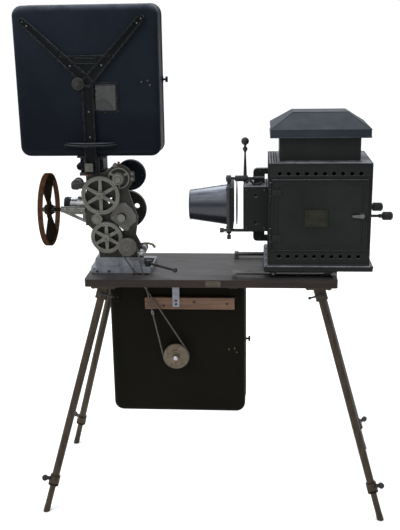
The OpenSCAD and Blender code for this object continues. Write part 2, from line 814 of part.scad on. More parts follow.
// Cast bracket of the upper magazine: channelled stem and arms, gusset, half-round shelf and spindle
module magazine_bracket() {
    web_t = 5;
    rib_t = 5;
    rim_w = 4;
    stem_x = film_x + 12;
    stem_w = 33;
    stem_z0 = main_c[1] + gear_m * main_teeth / 2 + gear_m + 4;
    fork = [stem_x, supply[1] + 4];
    arm_l = [upper_mag[0] - mag_w / 2 + 32, upper_mag[1] + mag_h / 2 - 42];
    arm_r = [upper_mag[0] + mag_w / 2 - 44, upper_mag[1] + mag_h / 2 - 38];
    root_r = 15;
    tip_r = 10;
    gusset_share = 0.42;
    gusset_l = fork + gusset_share * (arm_l - fork);
    gusset_r = fork + gusset_share * (arm_r - fork);
    shelf_z = upper_mag[1] - mag_h / 2 + 30;
    rib_y = front_y - web_t - rib_t;
    color(japan_black) {
        slab(front_y - web_t, front_y) {
            link(fork, root_r, arm_l, tip_r);
            link(fork, root_r, arm_r, tip_r);
            translate([stem_x - stem_w / 2, stem_z0]) square([stem_w, fork[1] - stem_z0]);
            polygon([fork, gusset_r, gusset_l]);
        }
        for (tip = [arm_l, arm_r]) difference() {
            slab(rib_y, front_y - web_t) link(fork, root_r, tip, tip_r);
            slab(rib_y - cut, front_y - web_t + cut) link(fork, root_r - rim_w - 1, tip, tip_r - rim_w);
        }
        for (s = [-1, 1])
            slab(rib_y, front_y - web_t)
                translate([stem_x + s * (stem_w - rim_w) / 2 - rim_w / 2, stem_z0])
                    square([rim_w, fork[1] - stem_z0]);
        slab(front_y - web_t - 2, front_y - web_t) link(gusset_l, 2.5, gusset_r, 2.5);
        half_round(stem_x, shelf_z, 76, 30, 4);
        half_round(stem_x, shelf_z + 4, 70, 24, 5);
        bar_y(supply, 16, front_y - web_t - 8, front_y);
        bar_y(supply, 9, front_y - web_t - 12, front_y);
        bar_y(supply, shoulder_r, front_y, film_y - reel_w / 2 - move_gap);
        bar_y(supply, spindle_r, film_y - reel_w, reel_back_y + 8);
        bar_y(supply, shoulder_r, reel_back_y + move_gap, reel_back_y + 8);
    }
}

// Half-round shelf that stands forward of the magazine: half width, depth and thickness
module half_round(x, z, half, depth, thk) {
    r = (half * half + depth * depth) / (2 * depth);
    intersection() {
        bar_z([x, front_y - depth + r], r, z, z + thk);
        box([x - half, front_y - depth - cut, z - cut], [x + half, front_y, z + thk + cut]);
    }
}

// Film neck with fire rollers between the upper magazine and the head
module fire_trap() {
    neck_x = film_x + 10;
    z1 = upper_mag[1] - mag_h / 2;
    z0 = z1 - 46;
    roller_r = 11;
    color(japan_black) difference() {
        union() {
            box([neck_x - neck_w / 2, frame_back + seat_clear, z0], [neck_x + neck_w / 2, film_back + 8, z1]);
            box([neck_x - neck_w / 2 - 9, frame_back + seat_clear, z1 - 5],
                [neck_x + neck_w / 2 + 9, film_back + 14, z1]);
            bar_y([neck_x - neck_w / 2 - 4, z0 + 14], roller_r, film_front - 8, film_back + 4);
        }
        box([neck_x - film_gap / 2, film_front, z0 - cut], [neck_x + film_gap / 2, film_back, z1 + cut]);
    }
}

// Base casting of the head: flange and hollow pedestal round the film slot
module head_base() {
    x0 = frame_x0 + 4;
    x1 = x0 + base_len;
    y0 = front_y - 21;
    y1 = film_y + 55;
    ped_x0 = x0 + 14;
    ped_y0 = front_y - 4;
    rib = 10;
    color(frame_grey) difference() {
        union() {
            translate([(x0 + x1) / 2, (y0 + y1) / 2, board_top])
                linear_extrude(base_flange_thk) rounded(x1 - x0, y1 - y0, board_corner);
            box([ped_x0, ped_y0, board_top], [frame_x1, frame_back + 4, frame_z0]);
            box([ped_x0, ped_y0, board_top], [slot_x - slot_len / 2 - 4, y1 - rib, frame_z0]);
        }
        box([slot_x - slot_len / 2, film_y - slot_wid / 2, board_top - cut],
            [slot_x + slot_len / 2, film_y + slot_wid / 2, frame_z0 + cut]);
        box([ped_x0 + rib, frame_back + 4 + rib, board_top - cut],
            [slot_x - slot_len / 2 - 4 - rib, y1 - 2 * rib, frame_z0 - rib]);
        bar_z(lever_pin, lever_pin_r + run_clear, board_top + 2, board_top + base_flange_thk + cut);
    }
}

// Framing lever on a pin of the base flange
lever_pin = [frame_x1 + 12, front_y + 2];
lever_pin_r = 5;
lever_dir = -40;
lever_len = 112;

module framing_lever() {
    z0 = board_top + base_flange_thk + move_gap;
    rod_z = z0 + 8;
    color(bright_steel) {
        bar_z(lever_pin, lever_pin_r, board_top + 3, z0 + 1);
        bar_z(lever_pin, 9, z0, z0 + 16);
        translate([lever_pin[0], lever_pin[1], rod_z]) rotate([0, 0, lever_dir]) rotate([0, 90, 0])
            cylinder(h = lever_len, r = 4);
        translate([lever_pin[0], lever_pin[1], rod_z]) rotate([0, 0, lever_dir]) translate([lever_len, 0, 0])
            sphere(r = 7);
    }
}

// Main frame: gear-side plate with bearings, film shelf, lens wall and jacket
module main_frame() {
    shelf_z1 = upper_mag[1] - mag_h / 2 - 46;
    shelf_t = 8;
    shelf = [film_x - 24, film_x + 46];
    right_top = upper_c[0] + 22;
    waist_x = fly_c[0] + 32;
    left_low = lower_c[0] - 40;
    foot_x = lower_c[0] - 26;
    hinge_lug = 8;
    color(frame_grey) difference() {
        union() {
            slab(front_y, frame_back) polygon([
                [frame_x0, opt_z - 50], [left_low, lower_c[1] + 18], [left_low, lower_c[1] - 12],
                [foot_x, frame_z0 + 10], [foot_x, frame_z0], [frame_x1, frame_z0], [frame_x1, frame_z0 + 26],
                [waist_x + 6, pulley_c[1] + 30], [waist_x + 14, fly_c[1]], [waist_x, fly_c[1] + 40],
                [right_top, upper_c[1] - 26], [right_top, upper_c[1] + 14], [upper_c[0], upper_c[1] + 24],
                [film_x + 34, shelf_z1], [film_x + 34, frame_z1], [film_x - 10, frame_z1],
                [film_x - 10, shelf_z1], [frame_x0, shelf_z1]]);
            slab(front_y, frame_back) {
                translate(upper_c) circle(r = lobe_r);
                link([frame_x0 + 8, pad_c[1] + 6], 8, pad_c, 8);
            }
            bar_y(pad_c, roller_stud_r, front_y, film_back);
            for (b = [[main_c, 11], [idler_c, 9], [lower_c, 11], [pulley_c, 11], [fly_c, 11]])
                bar_y(b[0], b[1], gear_back + 2, frame_back);
            for (b = [[main_c, 11], [upper_c, 10], [step_c, 8], [pulley_c, 11]])
                bar_y(b[0], b[1], front_y, frame_back + 12);
            box([shelf[0], front_y, shelf_z1 - shelf_t], [shelf[1], film_back + 8, shelf_z1]);
            box([wall_x0, front_y, opt_z - 50], [wall_x1, film_y + 30, opt_z + 44]);
            bar_x([film_y, opt_z], jacket_r, wall_x0 - jacket_len, wall_x1);
            for (z = [gate_door_z0 - hinge_lug - move_gap, gate_door_z1 + move_gap])
                box([gate_hinge[0] - 5, frame_back - 1, z],
                    [gate_hinge[0] + 5, gate_hinge[1] + 5, z + hinge_lug]);
            bar_y(guard_stud, guard_stud_r, front_y, guard_y0);
            bar_y(roller_c, roller_stud_r, front_y, film_back + 4);
        }
        for (c = [main_c, upper_c, pulley_c])
            bar_y(c, shaft_r + run_clear, gear_front, frame_back + 12 + cut);
        for (c = [lower_c, fly_c])
            bar_y(c, shaft_r + run_clear, gear_front, frame_back + cut);
        bar_y(idler_c, shaft_r - 1 + run_clear, gear_front, frame_back + cut);
        bar_y(step_c, step_shaft_r + run_clear, front_y - cut, frame_back + 12 + cut);
        bar_x([film_y, opt_z], lens_r + run_clear, wall_x0 - jacket_len - cut, wall_x1 + cut);
        bar_z(gate_hinge, gate_pin_r + run_clear, gate_door_z0 - hinge_lug - 2 * move_gap - cut,
              gate_door_z1 + hinge_lug + 2 * move_gap + cut);
        box([film_x + 10 - film_gap / 2, film_front, shelf_z1 - shelf_t - cut],
            [film_x + 10 + film_gap / 2, film_back, shelf_z1 + cut]);
        for (h = [[27, -20, 11], [-2, -92, 9], [52, -100, 8]])
            bar_y(main_c + [h[0], h[1]], h[2], front_y - cut, frame_back + cut);
    }
}

lobe_r = 38;
guard_y0 = film_back + 4;
guard_stud = [upper_c[0] + 15, upper_c[1] - 30];
guard_stud_r = 5;
roller_stud_r = 4;
step_shaft_r = 4;
gate_pin_r = 2;
gate_door_z0 = opt_z - 20;
gate_door_z1 = opt_z + 14;

// Outline of an involute gear: root, pitch and tip points on both flanks of each tooth
function involute(a) = tan(a) * 180 / PI - a;
function gear_outline(n, phase) =
    let (pressure = 20, rp = gear_m * n / 2, rb = rp * cos(pressure),
         radii = [rp - 1.25 * gear_m, rp, rp + 0.95 * gear_m],
         half = 90 / n - backlash / rp * 90 / PI / 2,
         wide = [for (r = radii) half + involute(pressure) - involute(acos(min(1, rb / r)))])
    [for (k = [0 : n - 1], i = [0 : 5])
        let (j = i < 3 ? i : 5 - i, side = i < 3 ? -1 : 1, a = phase + 360 * k / n + side * wide[j])
        [radii[j] * cos(a), radii[j] * sin(a)]];

// Toothed disc between two planes across Y
module toothed(c, n, phase, y0, y1) {
    translate([c[0], 0, c[1]]) slab(y0, y1) polygon(gear_outline(n, phase));
}

// Open gear with a rim, tapered spokes and a hub
module spoked_gear(c, n, phase) {
    rim_r = gear_m * n / 2 - 1.25 * gear_m - gear_rim;
    hub_r = 12;
    groove = 1.5;
    difference() {
        toothed(c, n, phase, gear_front, gear_back);
        bar_y(c, rim_r, gear_front - cut, gear_back + cut);
        difference() {
            bar_y(c, rim_r + gear_rim - 2, gear_front - cut, gear_front + groove);
            bar_y(c, rim_r + 3, gear_front - 2 * cut, gear_front + groove + cut);
        }
    }
    bar_y(c, hub_r, gear_front - 2, gear_back);
    for (k = [0 : gear_spokes - 1])
        slab(gear_front + 2, gear_back - 2)
            link(c, 5.5, toward(c, 90 + k * 360 / gear_spokes, rim_r + 2), 3.8);
}

// Film sprocket with two toothed rims, as a turned profile along Y
module sprocket(c, r) {
    rim_w = 4;
    relief = 1;
    core_r = r - relief;
    bar_y(c, core_r, film_y - film_w / 2, film_y + film_w / 2);
    for (y = [film_y - film_w / 2, film_y + film_w / 2 - rim_w])
        bar_y(c, r, y, y + rim_w);
}

// Main gear with its shaft and feed sprocket; the turned-down far end takes the crank
crank_end = film_y + 90;
crank_len = 24;

module main_gear() {
    color(gear_grey) {
        spoked_gear(main_c, main_teeth, 0);
        bar_y(main_c, shaft_r, gear_front - 4, crank_end - crank_len);
        bar_y(main_c, shaft_r - 0.5, crank_end - crank_len, crank_end);
        bar_y(main_c, shaft_r + 4, frame_back + 12 + move_gap, frame_back + 18);
        sprocket(main_c, feed_r);
    }
}

module idler_gear() {
    color(gear_grey) {
        toothed(idler_c, idler_teeth, idler_phase, gear_front, gear_back);
        bar_y(idler_c, shaft_r - 1, gear_front - 4, frame_back + 4);
        bar_y(idler_c, shaft_r + 1, frame_back + move_gap, frame_back + 4);
    }
}

// Lower gear, shaft, second gear behind the plate and the lower film sprocket
module lower_gear() {
    color(gear_grey) {
        spoked_gear(lower_c, lower_teeth, lower_phase);
        bar_y(lower_c, shaft_r, gear_front - 4, film_y + film_w / 2);
        toothed(lower_c, second_teeth, 0, second_front, second_front + second_w);
        sprocket(lower_c, lower_sprocket_r);
    }
}

// Upper pinion with the governor's open ring and hub
module governor_wheel() {
    hub_r = gear_m * upper_teeth / 2 - 3;
    ring_y1 = front_y - 1.5;
    ring_w = 4;
    ring_t = 3;
    arms = 3;
    color(gear_grey) {
        toothed(upper_c, upper_teeth, upper_phase, gear_front, gear_back);
        bar_y(upper_c, hub_r, gear_front - 4, gear_back);
        bar_y(upper_c, shaft_r + 3, gear_back, ring_y1);
        bar_y(upper_c, shaft_r, gear_front - 7, frame_back + 16);
        bar_y(upper_c, shaft_r + 4, frame_back + 12 + move_gap, frame_back + 16);
        difference() {
            bar_y(upper_c, ring_r, ring_y1 - ring_w, ring_y1);
            bar_y(upper_c, ring_r - ring_t, ring_y1 - ring_w - cut, ring_y1 + cut);
        }
        for (k = [0 : arms - 1])
            slab(ring_y1 - ring_w, ring_y1)
                link(upper_c, 4, toward(upper_c, 30 + k * 360 / arms, ring_r - ring_t / 2), 3);
    }
}

// Belt pulley with its pinion and shaft
module belt_pulley() {
    color(worn_steel) {
        belt_wheel(pulley_c, head_pulley_r);
        toothed(pulley_c, pulley_teeth, pulley_phase, gear_front, gear_back);
        bar_y(pulley_c, shaft_r, belt_y, frame_back + 16);
        bar_y(pulley_c, shaft_r + 4, frame_back + 12 + move_gap, frame_back + 16);
    }
}

// Flywheel on the far side, with its shaft, pinion and the knob on the gear side
module flywheel() {
    y0 = film_back + 28;
    hole_c = fly_r * 0.55;
    color(japan_black) difference() {
        union() {
            bar_y(fly_c, fly_r, y0, y0 + fly_w);
            bar_y(fly_c, shaft_r, gear_back - 6, y0 + fly_w + 4);
            bar_y(fly_c, 12, gear_back - 8, gear_back + 1.6);
            toothed(fly_c, fly_teeth, fly_phase, second_front, second_front + second_w);
        }
        for (k = [0 : 4])
            bar_y(toward(fly_c, 20 + 72 * k, hole_c), 8, y0 - cut, y0 + fly_w + cut);
        difference() {
            bar_y(fly_c, fly_r - 10, y0 + fly_w - 4, y0 + fly_w + cut);
            bar_y(fly_c, 14, y0, y0 + fly_w + 2 * cut);
        }
    }
}

// Intermittent sprocket below the gate
module intermittent_sprocket() {
    color(bright_steel) {
        sprocket(step_c, step_sprocket_r);
        bar_y(step_c, step_shaft_r, front_y + 1, film_y + film_w / 2);
    }
}

// Film track with the aperture
module gate_plate() {
    color(bright_steel) difference() {
        box([wall_x1, film_y - 24, gate_z0], [film_x - 0.4, film_y + 24, gate_z1]);
        translate([film_x, film_y, opt_z]) cube([4 * track_thk, aperture[0], aperture[1]], center = true);
    }
}

// Gate door with its pressure plate and hinge pins
module gate_door() {
    x0 = film_x + 0.4;
    color(gear_grey) difference() {
        union() {
            box([x0, gate_hinge[1], gate_door_z0], [x0 + 5, film_y + 24, gate_door_z1]);
            bar_z(gate_hinge, 4, gate_door_z0, gate_door_z1);
            bar_z(gate_hinge, gate_pin_r, gate_door_z0 - 6, gate_door_z1 + 6);
            bar_x([film_y + 18, opt_z - 15], 4, x0, x0 + 18);
        }
        translate([film_x, film_y, opt_z])
            cube([6 * track_thk, aperture[0] + 6, aperture[1] + 6], center = true);
    }
}

// Lens barrel with its knurled ring; slides in the jacket to focus
module lens_barrel() {
    ring = 15;
    x0 = lens_x1 - lens_len;
    color(bright_steel) difference() {
        union() {
            bar_x([film_y, opt_z], lens_r, x0, lens_x1);
            bar_x([film_y, opt_z], lens_r + 1.5, x0 - 2, x0 + ring);
        }
        bar_x([film_y, opt_z], lens_r - 3, x0 - 3 * cut, x0 + 4);
        bar_x([film_y, opt_z], lens_r - 3, lens_x1 - 6, lens_x1 + cut);
    }
}

// Arm that carries the shutter's shaft, bolted to the lens wall's edge
module shutter_bracket() {
    x0 = film_x - 78;
    tube_r = shutter_shaft_r + 4;
    color(frame_grey) difference() {
        union() {
            slab(front_y + 1, frame_back - 1) polygon([
                [wall_x0, shutter_z + tube_r], [wall_x0, shutter_z - 38], [wall_x0 - 10, shutter_z - 34],
                [x0, shutter_z - tube_r], [x0, shutter_z], [wall_x0 - 26, shutter_z + tube_r]]);
            bar_x([shutter_y, shutter_z], tube_r, x0 - 6, wall_x0);
        }
        bar_x([shutter_y, shutter_z], shutter_shaft_r + run_clear, x0 - 6 - cut, wall_x0 - 4);
        slab(front_y - cut, frame_back + cut) polygon([
            [wall_x0 - 36, shutter_z - 14], [wall_x0 - 8, shutter_z - 14], [wall_x0 - 8, shutter_z - 27]]);
    }
}

// Shutter: hub, wings and rim hoop on a shaft along X
module shutter_wheel() {
    hub_r = 14;
    hub_plate_r = 30;
    wing_t = 2.5;
    wing_share = 0.46;
    wing_arc = 360 / shutter_wings * wing_share;
    inner = shutter_r - shutter_hoop_t;
    steps = 8;
    color(red_wood) translate([shutter_x, shutter_y, shutter_z]) rotate([90, 0, 90]) {
        difference() {
            translate([0, 0, -shutter_hoop_w / 2]) cylinder(h = shutter_hoop_w, r = shutter_r);
            translate([0, 0, -shutter_hoop_w]) cylinder(h = 2 * shutter_hoop_w, r = inner);
        }
        intersection() {
            translate([0, 0, -wing_t / 2]) cylinder(h = wing_t, r = inner + shutter_hoop_t / 2);
            translate([0, 0, -wing_t]) linear_extrude(2 * wing_t) {
                circle(r = hub_plate_r);
                for (k = [0 : shutter_wings - 1])
                    polygon(concat([[0, 0]], [for (i = [0 : steps])
                        let (a = 90 + 360 * k / shutter_wings + wing_arc * (i / steps - 0.5))
                        1.2 * shutter_r * [cos(a), sin(a)]]));
            }
        }
        translate([0, 0, -10]) cylinder(h = 20, r = hub_r);
        translate([0, 0, -14]) cylinder(h = wall_x0 - 5 - shutter_x + 14, r = shutter_shaft_r);
    }
}

// Guide roller above the film slot
module guide_roller() {
    color(bright_steel) difference() {
        union() {
            bar_y(roller_c, 9, film_y - film_w / 2, film_y + film_w / 2);
            for (y = [film_y - film_w / 2, film_y + film_w / 2 - 4])
                bar_y(roller_c, 12, y, y + 4);
        }
        bar_y(roller_c, roller_stud_r + run_clear, film_y - film_w, film_y + film_w);
    }
}

// Pad roller that holds the upper film loop away from the lens
module pad_roller() {
    pad_r = 15;
    flange = 3;
    color(worn_steel) difference() {
        union() {
            bar_y(pad_c, pad_r - 3, film_front, film_back - 4);
            for (y = [film_front, film_back - 4 - flange])
                bar_y(pad_c, pad_r, y, y + flange);
        }
        bar_y(pad_c, roller_stud_r + run_clear, film_front - cut, film_back + cut);
    }
}

// Round black guard behind the upper sprocket
module film_guard() {
    guard_r = 44;
    guard_w = 20;
    wall = 3;
    color(japan_black) difference() {
        bar_y(guard_c, guard_r, guard_y0, guard_y0 + guard_w);
        bar_y(guard_c, guard_r - wall, guard_y0 + wall, guard_y0 + guard_w + cut);
    }
}

// Crossed round belt: arcs on both pulleys and two runs that pass side by side
belt_head_r = head_pulley_r;
belt_takeup_r = takeup_pulley_r;
belt_span = norm(takeup - pulley_c);
belt_axis = atan2(takeup[1] - pulley_c[1], takeup[0] - pulley_c[0]);
belt_wrap = acos((belt_head_r + belt_takeup_r) / belt_span);
belt_aside = belt_r + 1.4;
arc_steps = 14;
run_steps = 10;
belt_sides = 8;
function on_pulley(c, r, a) = [c[0] + r * cos(a), belt_y, c[1] + r * sin(a)];
function run_point(p, q, s, side) = p + (q - p) * s + [0, side * belt_aside * sin(180 * s), 0];
belt_path = let (h1 = belt_axis + belt_wrap, h2 = belt_axis - belt_wrap,
                 t1 = belt_axis + 180 + belt_wrap, t2 = belt_axis + 180 - belt_wrap,
                 ph1 = on_pulley(pulley_c, belt_head_r, h1), ph2 = on_pulley(pulley_c, belt_head_r, h2),
                 pt1 = on_pulley(takeup, belt_takeup_r, t1), pt2 = on_pulley(takeup, belt_takeup_r, t2))
    concat([for (i = [0 : arc_steps - 1])
                on_pulley(pulley_c, belt_head_r, h1 + (360 - 2 * belt_wrap) * i / arc_steps)],
           [for (i = [0 : run_steps - 1]) run_point(ph2, pt2, i / run_steps, 1)],
           [for (i = [0 : arc_steps - 1])
                on_pulley(takeup, belt_takeup_r, t2 - (360 - 2 * belt_wrap) * i / arc_steps)],
           [for (i = [0 : run_steps - 1]) run_point(pt1, ph1, i / run_steps, -1)]);

function unit(v) = v / norm(v);

// Closed round tube along a looped path
module looped_tube(path, r, sides) {
    n = len(path);
    rings = [for (i = [0 : n - 1])
        let (t = unit(path[(i + 1) % n] - path[(i + n - 1) % n]), v = [0, 1, 0],
             e = unit(v - (v * t) * t), f = cross(t, e))
        for (k = [0 : sides - 1]) let (a = 360 * k / sides) path[i] + r * (cos(a) * e + sin(a) * f)];
    faces = [for (i = [0 : n - 1], k = [0 : sides - 1], h = [0, 1])
        let (a = i * sides + k, b = i * sides + (k + 1) % sides,
             c = ((i + 1) % n) * sides + k, d = ((i + 1) % n) * sides + (k + 1) % sides)
        h == 0 ? [a, c, b] : [b, c, d]];
    polyhedron(points = rings, faces = faces);
}

module takeup_belt() {
    color([0.1, 0.08, 0.07]) looped_tube(belt_path, belt_r, belt_sides);
}

// Rail with its two end posts, for the lamphouse to slide on
module rail(y) {
    post_r = rail_r + 3;
    color(bright_steel) {
        bar_x([y, rail_z], rail_r, rail_left, rail_right);
        for (x = [rail_left, rail_right - rail_post]) {
            bar_x([y, rail_z], post_r, x, x + rail_post);
            box([x, y - post_r, board_top], [x + rail_post, y + post_r, rail_z]);
            box([x, y - post_r - 8, board_top], [x + rail_post, y + post_r + 8, board_top + 4]);
        }
    }
}

module front_rail() {
    rail(film_y - rail_gauge / 2);
}

module back_rail() {
    rail(film_y + rail_gauge / 2);
}

// Base plate of the lamphouse with the bored blocks that run on the rails
module lamphouse_base() {
    m = lamp_base_margin;
    color(japan_black) difference() {
        union() {
            translate([(lamp_x0 + lamp_x1) / 2, film_y, lamp_base_z]) linear_extrude(lamp_base_thk)
                rounded(lamp_len + 2 * m, lamp_wid + 2 * m, 6);
            for (s = [-1, 1], x = [front_block_x, back_block_x]) {
                y = film_y + s * rail_gauge / 2;
                bar_x([y, rail_z], rail_block / 2 + 1, x - rail_block / 2, x + rail_block / 2);
                box([x - rail_block / 2, y - rail_block / 2, rail_z],
                    [x + rail_block / 2, y + rail_block / 2, lamp_base_z + 1]);
            }
        }
        for (s = [-1, 1])
            bar_x([film_y + s * rail_gauge / 2, rail_z], rail_r + run_clear, rail_left, lamp_x1);
    }
}

// Sheet-metal walls of the lamphouse
module lamphouse_shell() {
    w = lamp_wall;
    lamp_y1 = lamp_y0 + lamp_wid;
    vent_pitch = (lamp_len - 60) / (vent_count - 1);
    vent_z = [lamp_z0 + 26, lamp_z1 - 28];
    top_holes = 12;
    color(japan_black) difference() {
        union() {
            difference() {
                box([lamp_x0, lamp_y0, lamp_z0], [lamp_x1, lamp_y1, lamp_z1]);
                box([lamp_x0 + w, lamp_y0 + w, lamp_z0 - cut], [lamp_x1 - w, lamp_y1 - w, lamp_z1 - w]);
                box([door_x0, lamp_y0 - cut, door_z0], [door_x1, lamp_y0 + w + cut, door_z1]);
                box([chimney_x0 + w, film_y - chimney_wid / 2 + w, lamp_z1 - w - cut],
                    [chimney_x0 + chimney_len - w, film_y + chimney_wid / 2 - w, lamp_z1 + cut]);
                for (z = lamp_hinge_z)
                    bar_z(door_hinge, lamp_hinge_r + move_gap, z - lamp_hinge_len / 2 - move_gap,
                          z + lamp_hinge_len / 2 + move_gap);
            }
            lamp_hinges_case();
        }
        bar_x([film_y, opt_z], cond_lens_r, lamp_x0 - cut, lamp_x0 + w + cut);
        for (c = [short_pos, long_pos])
            bar_x(c, control_rod_r + 3, lamp_x1 - w - cut, lamp_x1 + cut);
        for (z = vent_z, k = [0 : vent_count - 1])
            bar_y([lamp_x0 + 30 + k * vent_pitch, z], vent_r, lamp_y0 - cut, lamp_y0 + w + cut);
        for (x = [lamp_x0 + 8, lamp_x0 + 17], k = [0 : top_holes - 1])
            bar_z([x, lamp_y0 + 20 + k * (lamp_wid - 40) / (top_holes - 1)], 3,
                  lamp_z1 - w - cut, lamp_z1 + cut);
    }
}

// Door hinges of the lamphouse, on the front's left edge
lamp_hinge_len = 18;
lamp_hinge_r = 3.5;
lamp_hinge_z = [door_z0 + 30, door_z1 - 30];

module lamp_hinges_case() {
    for (z = lamp_hinge_z, s = [-1, 1]) {
        z0 = z + s * (lamp_hinge_len + move_gap) - lamp_hinge_len / 2;
        bar_z(door_hinge, lamp_hinge_r, z0, z0 + lamp_hinge_len);
        box([door_hinge[0] - lamp_hinge_r, door_hinge[1], z0],
            [door_hinge[0], lamp_y0 + lamp_wall, z0 + lamp_hinge_len]);
    }
    for (z = lamp_hinge_z)
        bar_z(door_hinge, lamp_hinge_r / 2, z - lamp_hinge_len, z + lamp_hinge_len);
}

// Lamphouse door
module lamphouse_door() {
    handle = [door_x1 - 9, (door_z0 + door_z1) / 2];
    color(japan_black) difference() {
        union() {
            box([door_x0 - door_lap, door_y - door_thk, door_z0 - door_lap],
                [door_x1 + door_lap, door_y, door_z1 + door_lap]);
            for (z = lamp_hinge_z) {
                bar_z(door_hinge, lamp_hinge_r, z - lamp_hinge_len / 2, z + lamp_hinge_len / 2);
                box([door_hinge[0], door_y - door_thk, z - lamp_hinge_len / 2],
                    [door_x0, door_y, z + lamp_hinge_len / 2]);
            }
        }
        for (z = lamp_hinge_z) {
            bar_z(door_hinge, lamp_hinge_r / 2 + run_clear, z - lamp_hinge_len, z + lamp_hinge_len);
            for (s = [-1, 1]) {
                z0 = z + s * (lamp_hinge_len + move_gap) - lamp_hinge_len / 2;
                box([door_hinge[0] - 2 * lamp_hinge_r, door_y - 3 * door_thk, z0 - move_gap],
                    [door_hinge[0] + lamp_hinge_r + move_gap, door_y + cut, z0 + lamp_hinge_len + move_gap]);
            }
        }
        bar_y(handle, 4 + run_clear, door_y - door_thk - cut, door_y + cut);
    }
}

// Turn handle of the lamphouse door
module lamp_door_handle() {
    handle = [door_x1 - 9, (door_z0 + door_z1) / 2];
    y1 = door_y - door_thk - move_gap;
    color(bright_steel) {
        bar_y(handle, 4, y1 - 8, door_y + 4);
        bar_y(handle, 7, y1 - 4, y1);
        bar_y(handle, 7, door_y + move_gap, door_y + 4);
        slab(y1 - 10, y1 - 4) link(handle, 5, [handle[0] - 24, handle[1]], 3);
    }
}

// Chimney on the lamphouse's top
module chimney() {
    w = lamp_wall;
    y0 = film_y - chimney_wid / 2;
    flange = 4;
    color(japan_black) difference() {
        union() {
            box([chimney_x0, y0, lamp_z1], [chimney_x0 + chimney_len, y0 + chimney_wid, chimney_z1]);
            box([chimney_x0 - flange, y0 - flange, lamp_z1],
                [chimney_x0 + chimney_len + flange, y0 + chimney_wid + flange, lamp_z1 + w]);
        }
        box([chimney_x0 + w, y0 + w, lamp_z1 - cut],
            [chimney_x0 + chimney_len - w, y0 + chimney_wid - w, chimney_z1 + cut]);
    }
}

// Hipped roof, hollow below, on a frame that rests on the chimney
module roof_block(x0, x1, y0, y1, z0, eave, rise, run) {
    hull() {
        box([x0, y0, z0], [x1, y1, z0 + eave]);
        box([x0 + run, y0 + run, z0 + eave], [x1 - run, y1 - run, z0 + eave + rise]);
    }
}

module roof() {
    w = lamp_wall;
    x0 = chimney_x0 - roof_over_x;
    x1 = chimney_x0 + chimney_len + roof_over_x;
    y0 = film_y - chimney_wid / 2 - roof_over_y;
    y1 = film_y + chimney_wid / 2 + roof_over_y;
    lip = 6;
    color(japan_black) {
        difference() {
            roof_block(x0, x1, y0, y1, chimney_z1, roof_eave, roof_rise, roof_run);
            roof_block(x0 + w, x1 - w, y0 + w, y1 - w, chimney_z1 - w, roof_eave, roof_rise, roof_run);
        }
        difference() {
            box([x0 + w / 2, y0 + w / 2, chimney_z1], [x1 - w / 2, y1 - w / 2, chimney_z1 + w]);
            box([chimney_x0 + lip, film_y - chimney_wid / 2 + lip, chimney_z1 - cut],
                [chimney_x0 + chimney_len - lip, film_y + chimney_wid / 2 - lip, chimney_z1 + w + cut]);
        }
    }
}

// Condenser box with its lens seats, and the ears that hold the cone's rods off the lamphouse wall
ear_len = 43;
rod_gap = 10;

module condenser_box() {
    y0 = film_y - cond_wid / 2;
    z0 = opt_z - cond_h / 2;
    color(japan_black) difference() {
        union() {
            box([cond_x0, y0, z0], [lamp_x0, y0 + cond_wid, z0 + cond_h]);
            for (s = [-1, 1])
                rod_ear(s);
        }
        bar_x([film_y, opt_z], cond_lens_r + seat_clear, cond_x0 - cut, cond_mid - rib_half);
        bar_x([film_y, opt_z], cond_lens_r + seat_clear, cond_mid + rib_half, lamp_x0 + cut);
        bar_x([film_y, opt_z], cond_lens_r - 5, cond_x0, lamp_x0);
        for (s = [-1, 1])
            bar_x([film_y, opt_z + s * cone_rod_dz], cone_rod_r + seat_clear,
                  cond_x0 - cut, lamp_x0 - rod_gap + cut);
        for (z = [opt_z - 39, opt_z + 39])
            bar_y([cond_mid, z], 5, y0 - cut, y0 + 6);
    }
}

// Ear above (s = 1) or below (s = -1) the box: a boss for the rod and an arm bent to the lamphouse wall
module rod_ear(s) {
    r = cone_rod_r + 6;
    x0 = lamp_x0 - ear_len;
    x1 = lamp_x0 - rod_gap;
    edge = opt_z + s * (cond_h / 2 - 1);
    rod = opt_z + s * cone_rod_dz;
    arm = [rod + s * 14, rod + s * 30];
    bend = 12;
    bar_x([film_y, rod], r, x0 + 2, x1);
    box([x0 + 2, film_y - r, min(edge, rod)], [x1, film_y + r, max(edge, rod)]);
    slab(film_y - r + 3, film_y + r - 3) {
        translate([x0, min(rod, arm[1] - s * bend)]) square([ear_len - rod_gap, abs(arm[1] - s * bend - rod)]);
        translate([x0 + bend, min(arm[0], arm[1])]) square([ear_len - bend, abs(arm[1] - arm[0])]);
        translate([x0 + bend, arm[1] - s * bend]) circle(r = bend);
    }
}

// Pair of plano-convex condenser lenses
module condenser_lenses() {
    curve = 130;
    rim = 4;
    sag = curve - sqrt(curve * curve - cond_lens_r * cond_lens_r);
    color([0.75, 0.8, 0.82]) for (s = [-1, 1]) intersection() {
        bar_x([film_y, opt_z], cond_lens_r, min(cond_mid + s * rib_half, cond_mid + s * (rib_half + rim + sag)),
              max(cond_mid + s * rib_half, cond_mid + s * (rib_half + rim + sag)));
        translate([cond_mid + s * (rib_half + rim + sag - curve), film_y, opt_z]) sphere(r = curve, $fn = 240);
    }
}

